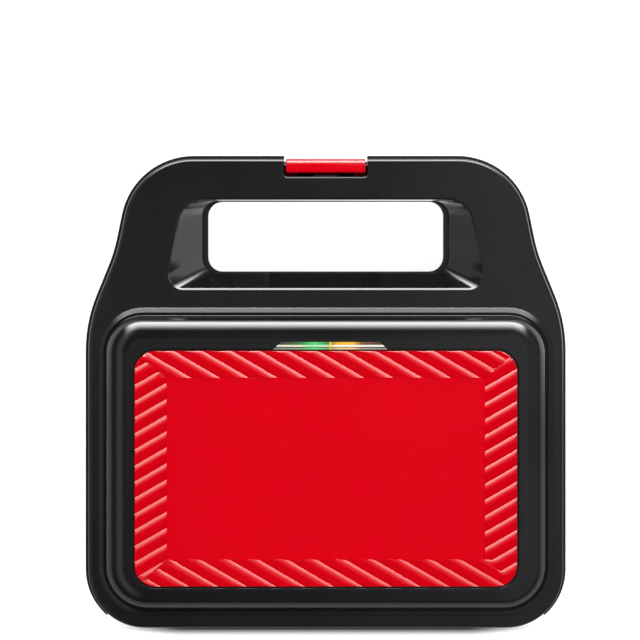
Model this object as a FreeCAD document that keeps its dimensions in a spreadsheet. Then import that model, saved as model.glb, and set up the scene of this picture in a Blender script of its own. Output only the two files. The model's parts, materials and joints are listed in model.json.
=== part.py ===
"""Sandwich maker: two hinged halves with removable plates, a carrying handle and a front latch.

Millimetres. The appliance lies on its four feet. +X is on the right of a person who stands at the handle
and looks at the hinge, +Y points from the handle to the hinge, and +Z is up.
"""
import FreeCAD, Part
import math
import os
import re
import Sketcher

Vector = FreeCAD.Vector
Placement = FreeCAD.Placement
Rotation = FreeCAD.Rotation

doc = FreeCAD.newDocument("SandwichMaker")

# Driving sizes of the spreadsheet.
SIZES = {
    # housing outline, seen from above
    "body_width": 252.8,
    "body_depth": 247.3,
    "nose_inset": 25.4,
    "nose_radius": 38.6,
    "waist_inset": 15,
    "shoulder_setback": 87.5,
    "waist_share": 0.5794,
    "waist_radius_share": 0.9714,
    "shoulder_radius_share": 0.88,
    "back_radius": 32,
    "rim_step": 2.4,
    "wall": 2.5,
    "edge_radius": 2,
    # heights of the layers, from the table up
    "foot_height": 8,
    "belly_height": 14,
    "side_height": 20,
    "frame_height": 4,
    "seam_gap": 1,
    "dome_height": 16,
    "crest_height": 1,
    # raised bead and dome of the lid
    "handle_depth": 80.2,
    "bead_side_margin": 7.8,
    "bead_back_margin": 6.55,
    "bead_width": 2.7,
    "bead_height": 1.7,
    "bead_foot": 0.3,
    "bead_front_radius": 23.4,
    "bead_back_radius": 26,
    "groove_width": 1,
    "groove_depth": 0.8,
    "dome_round": 12,
    "belly_inset": 3.4,
    "belly_round": 9,
    # red panel
    "panel_side_border": 14.8,
    "panel_front_border": 17.7,
    "panel_back_border": 11.45,
    "panel_gap": 0.9,
    "panel_radius": 11,
    "panel_edge_round": 1.2,
    "panel_recess": 2,
    "panel_sheet": 1.6,
    "rib_band_side": 16.7,
    "rib_band_end": 14,
    "rib_rise": 1.25,
    "rib_step_share": 0.08,
    "rib_flat_share": 0.5,
    "end_rib_pitch": 7.65,
    "side_rib_pitch": 7.4,
    "rib_turn": 60,
    "inner_radius": 1,
    # handle window
    "window_front_margin": 23.9,
    "window_side_margin": 61.4,
    "window_depth": 37.8,
    "window_radius": 8,
    "window_front_flare": 0.2,
    "window_rear_flare": 8.15,
    "window_side_flare": 9.4,
    "window_corner_flare": 18,
    "window_front_radius": 13,
    "window_back_radius": 7,
    "window_brim": 1,
    "brim_drop": 0.75,
    "scoop_height": 14,
    "frame_lip": 1.5,
    "sill_side": 3.1,
    "sill_front": 0.3,
    "sill_back": 0.8,
    # front latch
    "latch_width": 41.5,
    "notch_side_gap": 1.15,
    "notch_depth": 11.7,
    "notch_radius": 2,
    "notch_brim": 0.6,
    "latch_setback": 2.1,
    "latch_head": 7.4,
    "latch_round": 2.4,
    "latch_top_drop": 1,
    "latch_head_height": 10,
    "latch_plate": 4,
    "latch_pin_radius": 1.5,
    "latch_pin_drop": 6,
    "latch_pin_setback": 6.1,
    "hook_drop": 8.5,
    "hook_height": 3,
    "hook_reach": 9,
    "notch_floor": 8,
    "catch_gap": 0.5,
    "catch_sheet": 1.2,
    "catch_reach": 3.1,
    "catch_half": 15,
    "rivet_radius": 1.2,
    "rivet_half_pitch": 9,
    "leaf_half": 6,
    "leaf_sheet": 0.5,
    # hinge
    "knuckle_radius": 5,
    "hinge_gap": 1,
    "relief_height": 8,
    "web_height": 4,
    "knuckle_side_inset": 21,
    "base_knuckle": 8,
    "lid_knuckle": 15.4,
    "knuckle_gap": 0.3,
    "hinge_pin_radius": 2,
    "hinge_pin_inset": 1,
    "conduit_start": 9,
    "conduit_length": 20,
    "conduit_bore": 2.8,
    "sleeve_radius": 2.5,
    "sleeve_bore": 1.9,
    # cooking plates
    "plate_side_margin": 4.4,
    "plate_end_margin": 13.2,
    "plate_radius": 9,
    "flange_thickness": 2.7,
    "plate_gap": 0.8,
    "ledge_height": 1,
    "pan_inset": 4,
    "pan_depth": 12,
    "pan_radius": 7,
    "pan_gap": 1.2,
    "pan_wall": 3,
    "pan_floor": 2.4,
    "well_radius": 6,
    "well_draft": 2.5,
    "divider": 5,
    "ridge_base": 9,
    "ridge_top": 2.5,
    "ridge_drop": 2.8,
    "prong_inset": 21.1,
    "prong_radius": 2.3,
    "prong_collar_radius": 3.2,
    "prong_length": 8,
    "prong_drop": 3.2,
    "ear_inset": 23.2,
    "ear_half": 10.95,
    "ear_reach": 2.3,
    "ear_thickness": 1.2,
    # release clips
    "clip_half": 9,
    "clip_nose_reach": 0.8,
    "clip_top_depth": 12.5,
    "clip_top": 1.5,
    "clip_body_setback": 4.3,
    "clip_body_depth": 7,
    "clip_body_height": 6,
    "clip_travel": 2.5,
    "clip_spring_room": 2.7,
    "clip_spring_radius": 2.3,
    "clip_spring_wire": 0.6,
    "clip_ridge": 0.5,
    "pocket_wall": 1.6,
    # well of the frames, heating element and tray
    "ring_wall": 2,
    "ring_depth": 16,
    "tray_sheet": 0.8,
    "tray_height": 9,
    "tray_radius": 8,
    "element_radius": 3.25,
    "element_gap": 2.4,
    "element_side_inset": 21,
    "element_end_inset": 17,
    "element_bend": 18,
    "element_opening": 12,
    "saddle_half": 6,
    "saddle_width": 6,
    "saddle_lip": 0.8,
    "thermostat_radius": 8,
    "thermostat_height": 6,
    "fuse_radius": 2.2,
    "fuse_length": 14,
    "fuse_offset": 26,
    # wiring, terminal block and cord entry
    "block_length": 30,
    "block_depth": 8,
    "block_height": 9,
    "block_shift": 25,
    "wire_radius": 1.1,
    "wire_bend": 4.5,
    "wire_pitch": 7,
    "gland_side_inset": 66.4,
    "gland_height": 30.2,
    "gland_radius": 4.9,
    "gland_flange": 5.6,
    "gland_flange_depth": 2.5,
    "cord_bore": 3.6,
    # screws and feet
    "screw_radius": 1.5,
    "screw_head_radius": 2.8,
    "screw_head": 2,
    "screw_length": 16,
    "boss_radius": 3.4,
    "boss_height": 10,
    "screw_end_inset": 14,
    "handle_screw_inset": 74.4,
    "handle_screw_setback": 12.8,
    "foot_radius": 9,
    "foot_top_radius": 10.5,
    "foot_side_inset": 29,
    "foot_front_inset": 20,
    "foot_back_inset": 20,
    "foot_recess": 3.6,
    "foot_screw_length": 11,
    # indicator and panel pins
    "lens_shift": -2.4,
    "lens_half": 29.5,
    "lens_point": 4,
    "lens_half_width": 1.8,
    "lens_rise": 0.5,
    "lens_foot": 1,
    "board_drop": 3.8,
    "board_half": 24,
    "board_depth": 15,
    "board_sheet": 1.6,
    "board_post": 2,
    "board_post_half": 19,
    "led_radius": 1.5,
    "led_height": 2.4,
    "led_half_pitch": 8,
    "panel_pin_radius": 1.5,
    "panel_pin_length": 4.6,
    "panel_pin_inset": 26,
    "washer_radius": 4,
    "washer_sheet": 0.8,
    # clearances
    "fit_gap": 0.3,
    "pin_gap": 0.05,
    "overrun": 1,
}

# Places that follow from the sizes.
PLACES = {
    "half_width": "body_width / 2",
    "front_y": "-body_depth / 2",
    "back_y": "body_depth / 2",
    "belly_low": "foot_height",
    "shoulder_low": "belly_low + belly_height",
    "base_top": "shoulder_low + side_height",
    "base_rim": "base_top + frame_height",
    "seam_mid": "base_rim + seam_gap / 2",
    "lid_rim": "base_rim + seam_gap",
    "cover_low": "lid_rim + frame_height",
    "flange_high": "cover_low + side_height",
    "dome_high": "flange_high + dome_height",
    "crest_high": "dome_high + crest_height",
    "inset_wall": "rim_step + wall",
    "waist_setback": "shoulder_setback * waist_share",
    "waist_radius": "shoulder_setback * waist_radius_share",
    "shoulder_radius": "shoulder_setback * shoulder_radius_share",
    # bead, dome and belly
    "bead_half": "half_width - bead_side_margin",
    "bead_front": "front_y + handle_depth",
    "bead_back": "back_y - bead_back_margin",
    "bead_low": "flange_high + bead_foot",
    "bead_high": "flange_high + bead_height",
    "dome_step": "bead_width + groove_width",
    "dome_half": "bead_half - dome_step",
    "dome_front": "bead_front + dome_step",
    "dome_back": "bead_back - dome_step",
    "dome_front_radius": "bead_front_radius - dome_step",
    "dome_back_radius": "bead_back_radius - dome_step",
    "belly_half": "dome_half - belly_inset",
    "belly_front": "dome_front + belly_inset",
    "belly_back": "dome_back - belly_inset",
    "belly_front_radius": "dome_front_radius - belly_inset",
    "belly_back_radius": "dome_back_radius - belly_inset",
    # panel
    "recess_half": "dome_half - panel_side_border",
    "recess_front": "dome_front + panel_front_border",
    "recess_back": "dome_back - panel_back_border",
    "recess_low": "dome_high - panel_recess",
    "panel_half": "recess_half - panel_gap",
    "panel_front": "recess_front + panel_gap",
    "panel_back": "recess_back - panel_gap",
    "panel_middle": "(panel_front + panel_back) / 2",
    "flat_half": "panel_half - rib_band_side",
    "flat_front": "panel_front + rib_band_end",
    "flat_back": "panel_back - rib_band_end",
    "panel_flat": "recess_low + panel_sheet",
    "panel_round_high": "crest_high + overrun / 10",
    "dome_ceiling": "recess_low - wall",
    "panel_pin_half": "panel_half - panel_pin_inset",
    "panel_pin_front": "panel_front + panel_pin_inset",
    "panel_pin_back": "panel_back - panel_pin_inset",
    # handle window
    "window_half": "half_width - window_side_margin",
    "window_front": "front_y + window_front_margin",
    "window_back": "window_front + window_depth",
    "window_top_front": "window_front - window_front_flare",
    "window_top_back": "window_back + window_rear_flare",
    "window_top_half": "window_half + window_side_flare",
    "window_top_corner": "window_half + window_corner_flare",
    "lid_brim": "flange_high - brim_drop",
    "base_brim": "shoulder_low + brim_drop",
    "scoop_low": "flange_high - scoop_height",
    "base_scoop_high": "shoulder_low + scoop_height",
    # latch and its notch
    "notch_half": "latch_width / 2 + notch_side_gap",
    "notch_back": "front_y + notch_depth",
    "base_notch_low": "shoulder_low + notch_floor",
    "latch_front": "front_y + latch_setback",
    "latch_head_back": "latch_front + latch_head",
    "latch_top": "flange_high - latch_top_drop",
    "latch_head_low": "latch_top - latch_head_height",
    "latch_plate_back": "latch_front + latch_plate",
    "latch_pin_y": "front_y + latch_pin_setback",
    "latch_pin_z": "flange_high - latch_pin_drop",
    "hook_low": "base_top - hook_drop + catch_gap / 2",
    "hook_high": "hook_low + hook_height",
    "hook_back": "latch_front + hook_reach",
    "catch_low": "hook_high + catch_gap",
    "catch_high": "base_top - fit_gap",
    "catch_rivet_z": "(catch_low + catch_sheet + catch_high) / 2",
    # hinge
    "hinge_y": "back_y - knuckle_radius",
    "relief_front": "hinge_y - knuckle_radius - hinge_gap",
    "relief_reach": "hinge_y - fit_gap - back_y - rim_step + back_radius",
    "relief_half": "half_width - back_radius + sqrt(back_radius ^ 2 - relief_reach ^ 2)",
    "base_relief_low": "seam_mid - relief_height",
    "lid_relief_high": "seam_mid + relief_height",
    "knuckle_end": "relief_half - knuckle_side_inset",
    "knuckle_four": "knuckle_end - base_knuckle",
    "knuckle_three": "knuckle_four - knuckle_gap",
    "knuckle_two": "knuckle_three - lid_knuckle",
    "knuckle_one": "knuckle_two - knuckle_gap",
    "knuckle_start": "knuckle_one - base_knuckle",
    "pin_start": "knuckle_start + hinge_pin_inset",
    "pin_end": "knuckle_end - hinge_pin_inset",
    "conduit_end": "conduit_start + conduit_length",
    # plates and the frame's opening
    "plate_half": "dome_half - plate_side_margin",
    "plate_front": "dome_front + plate_end_margin",
    "plate_back": "dome_back - plate_end_margin",
    "plate_middle": "(plate_front + plate_back) / 2",
    "ledge": "base_top + ledge_height",
    "plate_high": "ledge + flange_thickness",
    "pan_half": "plate_half - pan_inset",
    "pan_front": "plate_front + pan_inset",
    "pan_back": "plate_back - pan_inset",
    "pan_low": "ledge - pan_depth",
    "well_low": "pan_low + pan_floor",
    "well_in": "divider / 2",
    "well_out": "pan_half - pan_wall",
    "well_front": "pan_front + pan_wall",
    "well_back": "pan_back - pan_wall",
    "well_width": "well_out - well_in",
    "well_length": "well_back - well_front",
    "ridge_high": "plate_high - ridge_drop",
    "prong_x": "plate_half - prong_inset",
    "prong_z": "base_top - prong_drop",
    "ear_x": "plate_half - ear_inset",
    "ear_tip": "plate_front - ear_reach",
    "ear_high": "ledge + ear_thickness",
    # release clips
    "clip_nose": "plate_front - clip_nose_reach",
    "clip_front": "clip_nose - clip_top_depth",
    "clip_top_low": "base_rim - clip_top",
    "clip_back": "plate_front - clip_body_setback",
    "clip_body_front": "clip_back - clip_body_depth",
    "clip_low": "clip_top_low - clip_body_height",
    "pocket_front": "clip_body_front - clip_travel - clip_spring_room",
    "pocket_low": "clip_low - fit_gap",
    "pocket_half": "clip_half + fit_gap",
    "clip_spring_z": "pocket_low + clip_spring_radius + fit_gap",
    # well ring, element and tray
    "ring_half": "pan_half + pan_gap",
    "ring_front": "pan_front - pan_gap",
    "ring_back": "pan_back + pan_gap",
    "ring_radius": "pan_radius + pan_gap",
    "ring_low": "base_top - ring_depth",
    "tray_half": "ring_half + ring_wall / 2",
    "tray_front": "ring_front - ring_wall / 2",
    "tray_back": "ring_back + ring_wall / 2",
    "tray_low": "ring_low - tray_height",
    "tray_floor": "tray_low + tray_sheet",
    "element_z": "pan_low - element_gap - element_radius",
    "element_half": "pan_half - element_side_inset",
    "element_front": "pan_front + element_end_inset",
    "element_back": "pan_back - element_end_inset",
    # screws, feet, terminal block
    "screw_x": "half_width - inset_wall - fit_gap - boss_radius",
    "screw_front": "plate_front + screw_end_inset",
    "screw_back": "plate_back - screw_end_inset",
    "handle_screw_x": "half_width - handle_screw_inset",
    "handle_screw_y": "front_y + handle_screw_setback",
    "shelf": "shoulder_low + wall",
    "base_screw_tip": "shelf + screw_length",
    "lid_screw_tip": "lid_rim + screw_head + screw_length",
    "foot_screw_tip": "foot_recess + foot_screw_length",
    "boss_seam": "shelf + boss_height",
    "belly_floor": "belly_low + wall",
    "foot_x": "belly_half - foot_side_inset",
    "foot_front": "belly_front + foot_front_inset",
    "foot_back": "belly_back - foot_back_inset",
    "gland_x": "half_width - gland_side_inset",
    "block_x": "gland_x - block_shift",
    "block_back": "back_y - wall - gland_flange_depth",
    "block_front": "block_back - block_depth",
    "block_high": "shelf + block_height",
    "wire_low": "belly_floor + wire_radius",
    "wire_high": "shelf + block_height / 4",
    "wire_drop": "(ring_back + ring_wall + belly_back - wall) / 2",
    # indicator
    "lens_y": "recess_front - lens_half_width",
    "lens_high": "dome_high + lens_rise",
    "board_high": "dome_ceiling - board_drop",
    "board_low": "board_high - board_sheet",
    "board_post_y": "lens_y + lens_half_width + lens_foot + fit_gap + board_post",
}

sheet = doc.addObject("Spreadsheet::Sheet", "Sizes")
for row, (word, size) in enumerate(SIZES.items(), start=1):
    sheet.set(f"A{row}", word)
    sheet.set(f"B{row}", str(size))
    sheet.setAlias(f"B{row}", word)
doc.recompute()

places = doc.addObject("App::VarSet", "Places")


def full(text):
    """A formula with each name led by the object that holds it."""
    def lead(match):
        word = match.group(0)
        if word in SIZES:
            return "Sizes." + word
        if word in PLACES:
            return "Places." + word
        raise ValueError(f"{word} is no size or place")
    return re.sub(r"[a-z][a-z_]+(?![a-z_(])", lead, text)


for word, formula in PLACES.items():
    places.addProperty("App::PropertyFloat", word)
    places.setExpression(word, full(formula).replace("Places.", ""))
doc.recompute()


def value(text):
    """The number that a formula gives now."""
    return float(sheet.evalExpression(full(text)))


# Document objects, each with its sizes bound to formulas.

def bind(item, **formulas):
    """Ties properties of an object to formulas, where two underscores stand for a dot."""
    for prop, text in formulas.items():
        item.setExpression(prop.replace("__", "."), full(text))
    return item


def box(name, x, y, z):
    """A block between a low and a high formula along each axis."""
    item = doc.addObject("Part::Box", name)
    for prop, axis, (low, high) in zip(("Length", "Width", "Height"), "xyz", (x, y, z)):
        item.setExpression(prop, full(f"({high}) - ({low})"))
        item.setExpression("Placement.Base." + axis, full(low))
    return item


TURNS = {
    "x": Rotation(Vector(0, 1, 0), 90),
    "y": Rotation(Vector(1, 0, 0), -90),
    "z": Rotation(),
}


def rod(name, axis, radius, low, high, across, along, top_radius=None):
    """A round bar (or cone) along an axis from low to high; across and along are its other two places."""
    item = doc.addObject("Part::Cone" if top_radius else "Part::Cylinder", name)
    item.Placement = Placement(Vector(), TURNS[axis])
    if top_radius:
        bind(item, Radius1=radius, Radius2=top_radius)
    else:
        bind(item, Radius=radius)
    bind(item, Height=f"({high}) - ({low})")
    others = [letter for letter in "xyz" if letter != axis]
    for letter, text in zip((axis, *others), (low, across, along)):
        item.setExpression("Placement.Base." + letter, full(text))
    return item


def join(name, *items):
    """One solid from pieces that meet."""
    item = doc.addObject("Part::MultiFuse", name)
    item.Shapes = list(items)
    item.Refine = True
    return item


def group(name, *items):
    """Separate solids of one node."""
    item = doc.addObject("Part::Compound", name)
    item.Links = list(items)
    return item


def cut(name, base, *tools):
    """The base without the tools."""
    item = doc.addObject("Part::Cut", name)
    item.Base = base
    item.Tool = tools[0] if len(tools) == 1 else group(name + "_tools", *tools)
    return item


def common(name, base, tool):
    """What two solids share."""
    item = doc.addObject("Part::Common", name)
    item.Base = base
    item.Tool = tool
    return item


def mirrored(name, item, axis, at="0"):
    """The mirror image of an object across the plane that stands at a formula on an axis."""
    image = doc.addObject("Part::Mirroring", name)
    image.Source = item
    image.Normal = Vector(*(float(letter == axis) for letter in "xyz"))
    if at != "0":
        image.setExpression("Base." + axis, full(at))
    return image


def both_sides(name, item):
    """An object on the +X side, and its mirror image on the -X side."""
    return item, mirrored(name + "_mirror", item, "x")


def outline(name, corners):
    """A closed sketch, anticlockwise through corners: formulas for x, y and the corner's radius."""
    sketch = doc.addObject("Sketcher::SketchObject", name)
    count = len(corners)
    spots = [Vector(value(x), value(y), 0) for x, y, _ in corners]
    radii = [value(radius) if radius else 0 for _, _, radius in corners]
    arcs = []
    for number, here in enumerate(spots):
        into = (here - spots[number - 1]).normalize()
        out = (spots[(number + 1) % count] - here).normalize()
        turn = math.atan2(into.cross(out).z, into.dot(out))
        reach = radii[number] * math.tan(abs(turn) / 2)
        side = math.copysign(1, turn)
        start = here - into * reach
        middle = start + Vector(-into.y, into.x, 0) * (radii[number] * side)
        arcs.append((start, here + out * reach, middle, side))
    for number in range(count):
        sketch.addGeometry(Part.LineSegment(arcs[number][1], arcs[(number + 1) % count][0]), False)
    for number, here in enumerate(spots):
        sketch.addGeometry(Part.Point(here), True)
    rules = []
    rule = Sketcher.Constraint
    for number in range(count):
        start, end, middle, side = arcs[number]
        line_in = (number - 1) % count
        point = count + number
        if not radii[number]:
            rules.append(rule("Coincident", line_in, 2, number, 1))
            rules.append(rule("Coincident", point, 1, number, 1))
            continue
        rules.append(rule("PointOnObject", point, 1, number))
        rules.append(rule("PointOnObject", point, 1, line_in))
        first, last = (start, end) if side > 0 else (end, start)
        angles = [math.atan2(spot.y - middle.y, spot.x - middle.x) for spot in (first, last)]
        circle = Part.Circle(middle, Vector(0, 0, 1), radii[number])
        arc = sketch.addGeometry(Part.ArcOfCircle(circle, *angles), False)
        rules.append(rule("Tangent", line_in, 2, arc, 1 if side > 0 else 2))
        rules.append(rule("Tangent", arc, 2 if side > 0 else 1, number, 1))
        measure(sketch, rule("Radius", arc, radii[number]), f"corner_{number}", corners[number][2])
    sketch.addConstraint(rules)
    for number, (x, y, radius) in enumerate(corners):
        point = count + number
        measure(sketch, rule("DistanceX", -1, 1, point, 1, spots[number].x), f"across_{number}", x)
        measure(sketch, rule("DistanceY", -1, 1, point, 1, spots[number].y), f"along_{number}", y)
    return sketch


def measure(sketch, constraint, name, text):
    """Adds a named dimension to a sketch and ties it to a formula."""
    number = sketch.addConstraint(constraint)
    sketch.renameConstraint(number, name)
    sketch.setExpression("Constraints." + name, full(text))


def offset(name, sketch, amount):
    """The sketch's outline moved outwards by a formula (inwards where it is negative)."""
    item = doc.addObject("Part::Offset2D", name)
    item.Source = sketch
    return bind(item, Value=amount)


def raised(item, height):
    """Lifts a sketch to a height."""
    return bind(item, Placement__Base__z=height)


def slab(name, base, low, high):
    """An outline carried straight up from a low to a high formula."""
    item = doc.addObject("Part::Extrusion", name)
    item.Base = base
    item.DirMode = "Custom"
    item.Dir = Vector(0, 0, 1)
    item.Solid = True
    return bind(item, LengthFwd=f"({high}) - ({low})", Placement__Base__z=low)


def side_profile(name, corners, half):
    """A profile in (y, z) carried across the middle plane, half its width to each side."""
    sketch = outline(name + "_profile", corners)
    sketch.Placement = Placement(Vector(), Rotation(Vector(1, 1, 1), 120))
    item = doc.addObject("Part::Extrusion", name)
    item.Base = sketch
    item.DirMode = "Custom"
    item.Dir = Vector(1, 0, 0)
    item.Solid = True
    return bind(item, LengthFwd=half, LengthRev=half)


def funnel(name, lower, upper):
    """A solid with straight flanks between two outlines at different heights."""
    item = doc.addObject("Part::Loft", name)
    item.Sections = [lower, upper]
    item.Solid = True
    item.Ruled = True
    return item


def four_corners(x, y, radii):
    """Corners of an upright rectangle from low and high formulas, with a front and a back radius."""
    front, back = radii if isinstance(radii, tuple) else (radii, radii)
    return [
        (x[0], y[0], front),
        (x[1], y[0], front),
        (x[1], y[1], back),
        (x[0], y[1], back),
    ]


def pillow(name, x, y, z, radii):
    """A block with rounded upright edges."""
    return slab(name, outline(name + "_outline", four_corners(x, y, radii)), *z)


def wide(half):
    """A span that lies evenly about the middle plane."""
    return f"-({half})", half


def around(middle, half):
    """A span of half to each side of a middle."""
    return f"({middle}) - ({half})", f"({middle}) + ({half})"


def softened(name, item, radius, pick):
    """The item with the edges that pick chooses rounded to a formula."""
    doc.recompute()
    body = doc.addObject("PartDesign::Body", name)
    body.BaseFeature = item
    for axis in "xyz":
        body.setExpression("Placement.Base." + axis, f"{item.Name}.Placement.Base.{axis}")
    doc.recompute()
    edges = [f"Edge{number}" for number, edge in enumerate(body.Shape.Edges, start=1) if pick(edge)]
    fillet = body.newObject("PartDesign::Fillet", name + "_fillet")
    fillet.Base = (body.Group[0], edges)
    bind(fillet, Radius=radius)
    return body


def level(height):
    """Picks the edges that lie flat at a height."""
    place = value(height)
    near = value("overrun") / 1000

    def pick(edge):
        bounds = edge.BoundBox
        return abs(bounds.ZMin - place) < near and abs(bounds.ZMax - place) < near
    return pick


def tube(name, radius, points, bend):
    """A round wire along straight runs joined by arcs, for a route that leaves one plane.

    points are places worked out from the named sizes.
    """
    spots = [Vector(*point) for point in points]
    edges = []
    at = spots[0]
    for before, corner, after in zip(spots, spots[1:], spots[2:]):
        into = (corner - before).normalize()
        out = (after - corner).normalize()
        half_turn = into.getAngle(out) / 2
        reach = bend * math.tan(half_turn)
        start = corner - into * reach
        end = corner + out * reach
        inward = (out - into).normalize()
        middle = corner + inward * (bend / math.cos(half_turn) - bend)
        if (start - at).Length > radius / 100:
            edges.append(Part.LineSegment(at, start).toShape())
        edges.append(Part.Arc(start, middle, end).toShape())
        at = end
    edges.append(Part.LineSegment(at, spots[-1]).toShape())
    along = spots[1] - spots[0]
    ring = Part.Wire(Part.makeCircle(radius, spots[0], along))
    shape = Part.Wire(edges).makePipeShell([ring], True, False)
    item = doc.addObject("Part::Feature", name)
    item.Shape = shape
    return item


# Housing outline: a wide rear part, a slight waist and a narrower nose with the handle.

def housing_corners():
    """Corners of the housing seen from above."""
    back = "back_y + rim_step"
    right = [
        ("half_width - nose_inset", "front_y", "nose_radius"),
        ("half_width - waist_inset", "front_y + waist_setback", "waist_radius"),
        ("half_width", "front_y + shoulder_setback", "shoulder_radius"),
        ("half_width", back, "back_radius"),
    ]
    left = [(f"-({x})", y, radius) for x, y, radius in reversed(right)]
    return right + left


housing = outline("housing_outline", housing_corners())
shell_outline = offset("shell_outline", housing, "-rim_step")
cavity_outline = offset("cavity_outline", housing, "-inset_wall")


# Spaces that several pieces leave open. Each can also be made larger by a wall, for the piece around it.

def mouth_outline(name, grow):
    """The outline of the handle window's mouth, wider at the back than at the front."""
    front = f"window_top_front - ({grow})"
    back = f"window_top_back + {grow}"
    return outline(name, [
        (f"-window_top_half - ({grow})", front, f"window_front_radius + {grow}"),
        (f"window_top_half + {grow}", front, f"window_front_radius + {grow}"),
        (f"window_top_corner + {grow}", back, f"window_back_radius + {grow}"),
        (f"-window_top_corner - ({grow})", back, f"window_back_radius + {grow}"),
    ])


def window_space(name, mouth, brim, throat, end, grow="0"):
    """The handle window: a chamfered mouth, flared in to its throat, then straight to its end."""
    edge = raised(mouth_outline(name + "_edge", f"window_brim + {grow}"), mouth)
    flared = raised(mouth_outline(name + "_mouth", grow), brim)
    x = wide(f"window_half + {grow}")
    y = f"window_front - {grow}", f"window_back + {grow}"
    plain = outline(name + "_throat", four_corners(x, y, f"window_radius + {grow}"))
    flank = funnel(name + "_flank", raised(plain, throat), flared)
    chamfer = funnel(name + "_chamfer", flared, edge)
    z = sorted((throat, end), key=value)
    return join(name, flank, chamfer, pillow(name + "_straight", x, y, z, f"window_radius + {grow}"))


def notch_outline(name, grow="0"):
    """The latch notch from above, with rounded inner corners."""
    y = "front_y - overrun", f"notch_back + {grow}"
    return outline(name, four_corners(wide(f"notch_half + {grow}"), y, (None, f"notch_radius + {grow}")))


def notch_space(name, z, grow="0"):
    """The latch notch in the middle of the front edge."""
    return slab(name, notch_outline(name + "_outline", grow), *z)


def relief_space(name, z, grow="0"):
    """The space around the hinge, cut into the back edge."""
    y = f"relief_front - {grow}", "back_y + rim_step + overrun"
    return box(name, wide(f"relief_half + {grow}"), y, z)


SCREW_SPOTS = [
    ("screw_x", "screw_front"),
    ("screw_x", "screw_back"),
    ("-screw_x", "screw_front"),
    ("-screw_x", "screw_back"),
    ("handle_screw_x", "handle_screw_y"),
    ("-handle_screw_x", "handle_screw_y"),
]

PANEL_PIN_SPOTS = [
    (x, y)
    for x in ("panel_pin_half", "-panel_pin_half")
    for y in ("panel_pin_front", "panel_pin_back")
]

FOOT_SPOTS = {
    "front_left": ("-foot_x", "foot_front"),
    "front_right": ("foot_x", "foot_front"),
    "back_left": ("-foot_x", "foot_back"),
    "back_right": ("foot_x", "foot_back"),
}


def rods(name, spots, radius, low, high):
    """Upright bars of one size at several spots."""
    return [rod(f"{name}_{number}", "z", radius, low, high, x, y) for number, (x, y) in enumerate(spots)]


# Lower housing

def make_base_shell():
    """The lower housing: a flat shelf all round, a belly below it and the lower half of the handle."""
    skirt = slab("base_skirt", shell_outline, "shoulder_low", "base_top")
    skirt = softened("base_skirt_soft", skirt, "edge_radius", level("shoulder_low"))
    belly = pillow("base_belly", wide("belly_half"), ("belly_front", "belly_back"),
                   ("belly_low", "shelf"), ("belly_front_radius", "belly_back_radius"))
    belly = softened("base_belly_soft", belly, "belly_round", level("belly_low"))
    skirt_space = slab("base_skirt_space", cavity_outline, "shelf", "base_top + overrun")
    belly_space = pillow("base_belly_space", wide("belly_half - wall"),
                         ("belly_front + wall", "belly_back - wall"), ("belly_floor", "base_top"),
                         ("belly_front_radius - wall", "belly_back_radius - wall"))
    belly_space = softened("base_belly_space_soft", belly_space, "belly_round - wall", level("belly_floor"))
    top = "base_top + overrun * 2"
    walls = [
        window_space("base_window_wall", "shoulder_low", "base_brim", "base_scoop_high", top, "wall"),
        notch_space("base_notch_wall", ("base_notch_low - wall", top), "wall"),
        relief_space("base_relief_wall", ("base_relief_low - wall", top), "wall"),
        *rods("base_boss", SCREW_SPOTS, "boss_radius", "shoulder_low", "boss_seam"),
        *rods("foot_boss", FOOT_SPOTS.values(), "boss_radius", "belly_low", "tray_low - fit_gap"),
    ]
    space = cut("base_space", join("base_spaces", skirt_space, belly_space), *walls)
    openings = [
        space,
        window_space("base_window", "shoulder_low", "base_brim", "base_scoop_high", top),
        notch_space("base_notch", ("base_notch_low", top)),
        relief_space("base_relief", ("base_relief_low", top)),
        *rods("base_screw_hole", SCREW_SPOTS, "screw_radius + pin_gap", "shoulder_low", top),
        *rods("base_screw_sink", SCREW_SPOTS, "screw_head_radius + fit_gap", "shoulder_low - overrun",
              "shelf"),
        *rods("foot_screw_hole", FOOT_SPOTS.values(), "screw_radius + pin_gap", "belly_low - overrun",
              "foot_screw_tip + fit_gap"),
        rod("gland_hole", "y", "gland_radius + pin_gap", "back_y - wall * 2", "back_y + overrun",
            "gland_x", "gland_height"),
        *both_sides("rivet_hole", rod("rivet_hole", "y", "rivet_radius + pin_gap", "notch_back - overrun",
                                      "notch_back + wall + overrun", "rivet_half_pitch", "catch_rivet_z")),
    ]
    return cut("base_shell", join("base_outside", skirt, belly), *openings)


# Frames: each half's inner liner, with the well that holds a plate. The lid's is the base's mirror image.

def clip_pocket(name, z, grow="0"):
    """The pocket of a release clip on the +X side."""
    y = f"pocket_front - {grow}", "plate_front + overrun"
    return box(name, around("ear_x", f"pocket_half + {grow}"), y, z)


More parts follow.
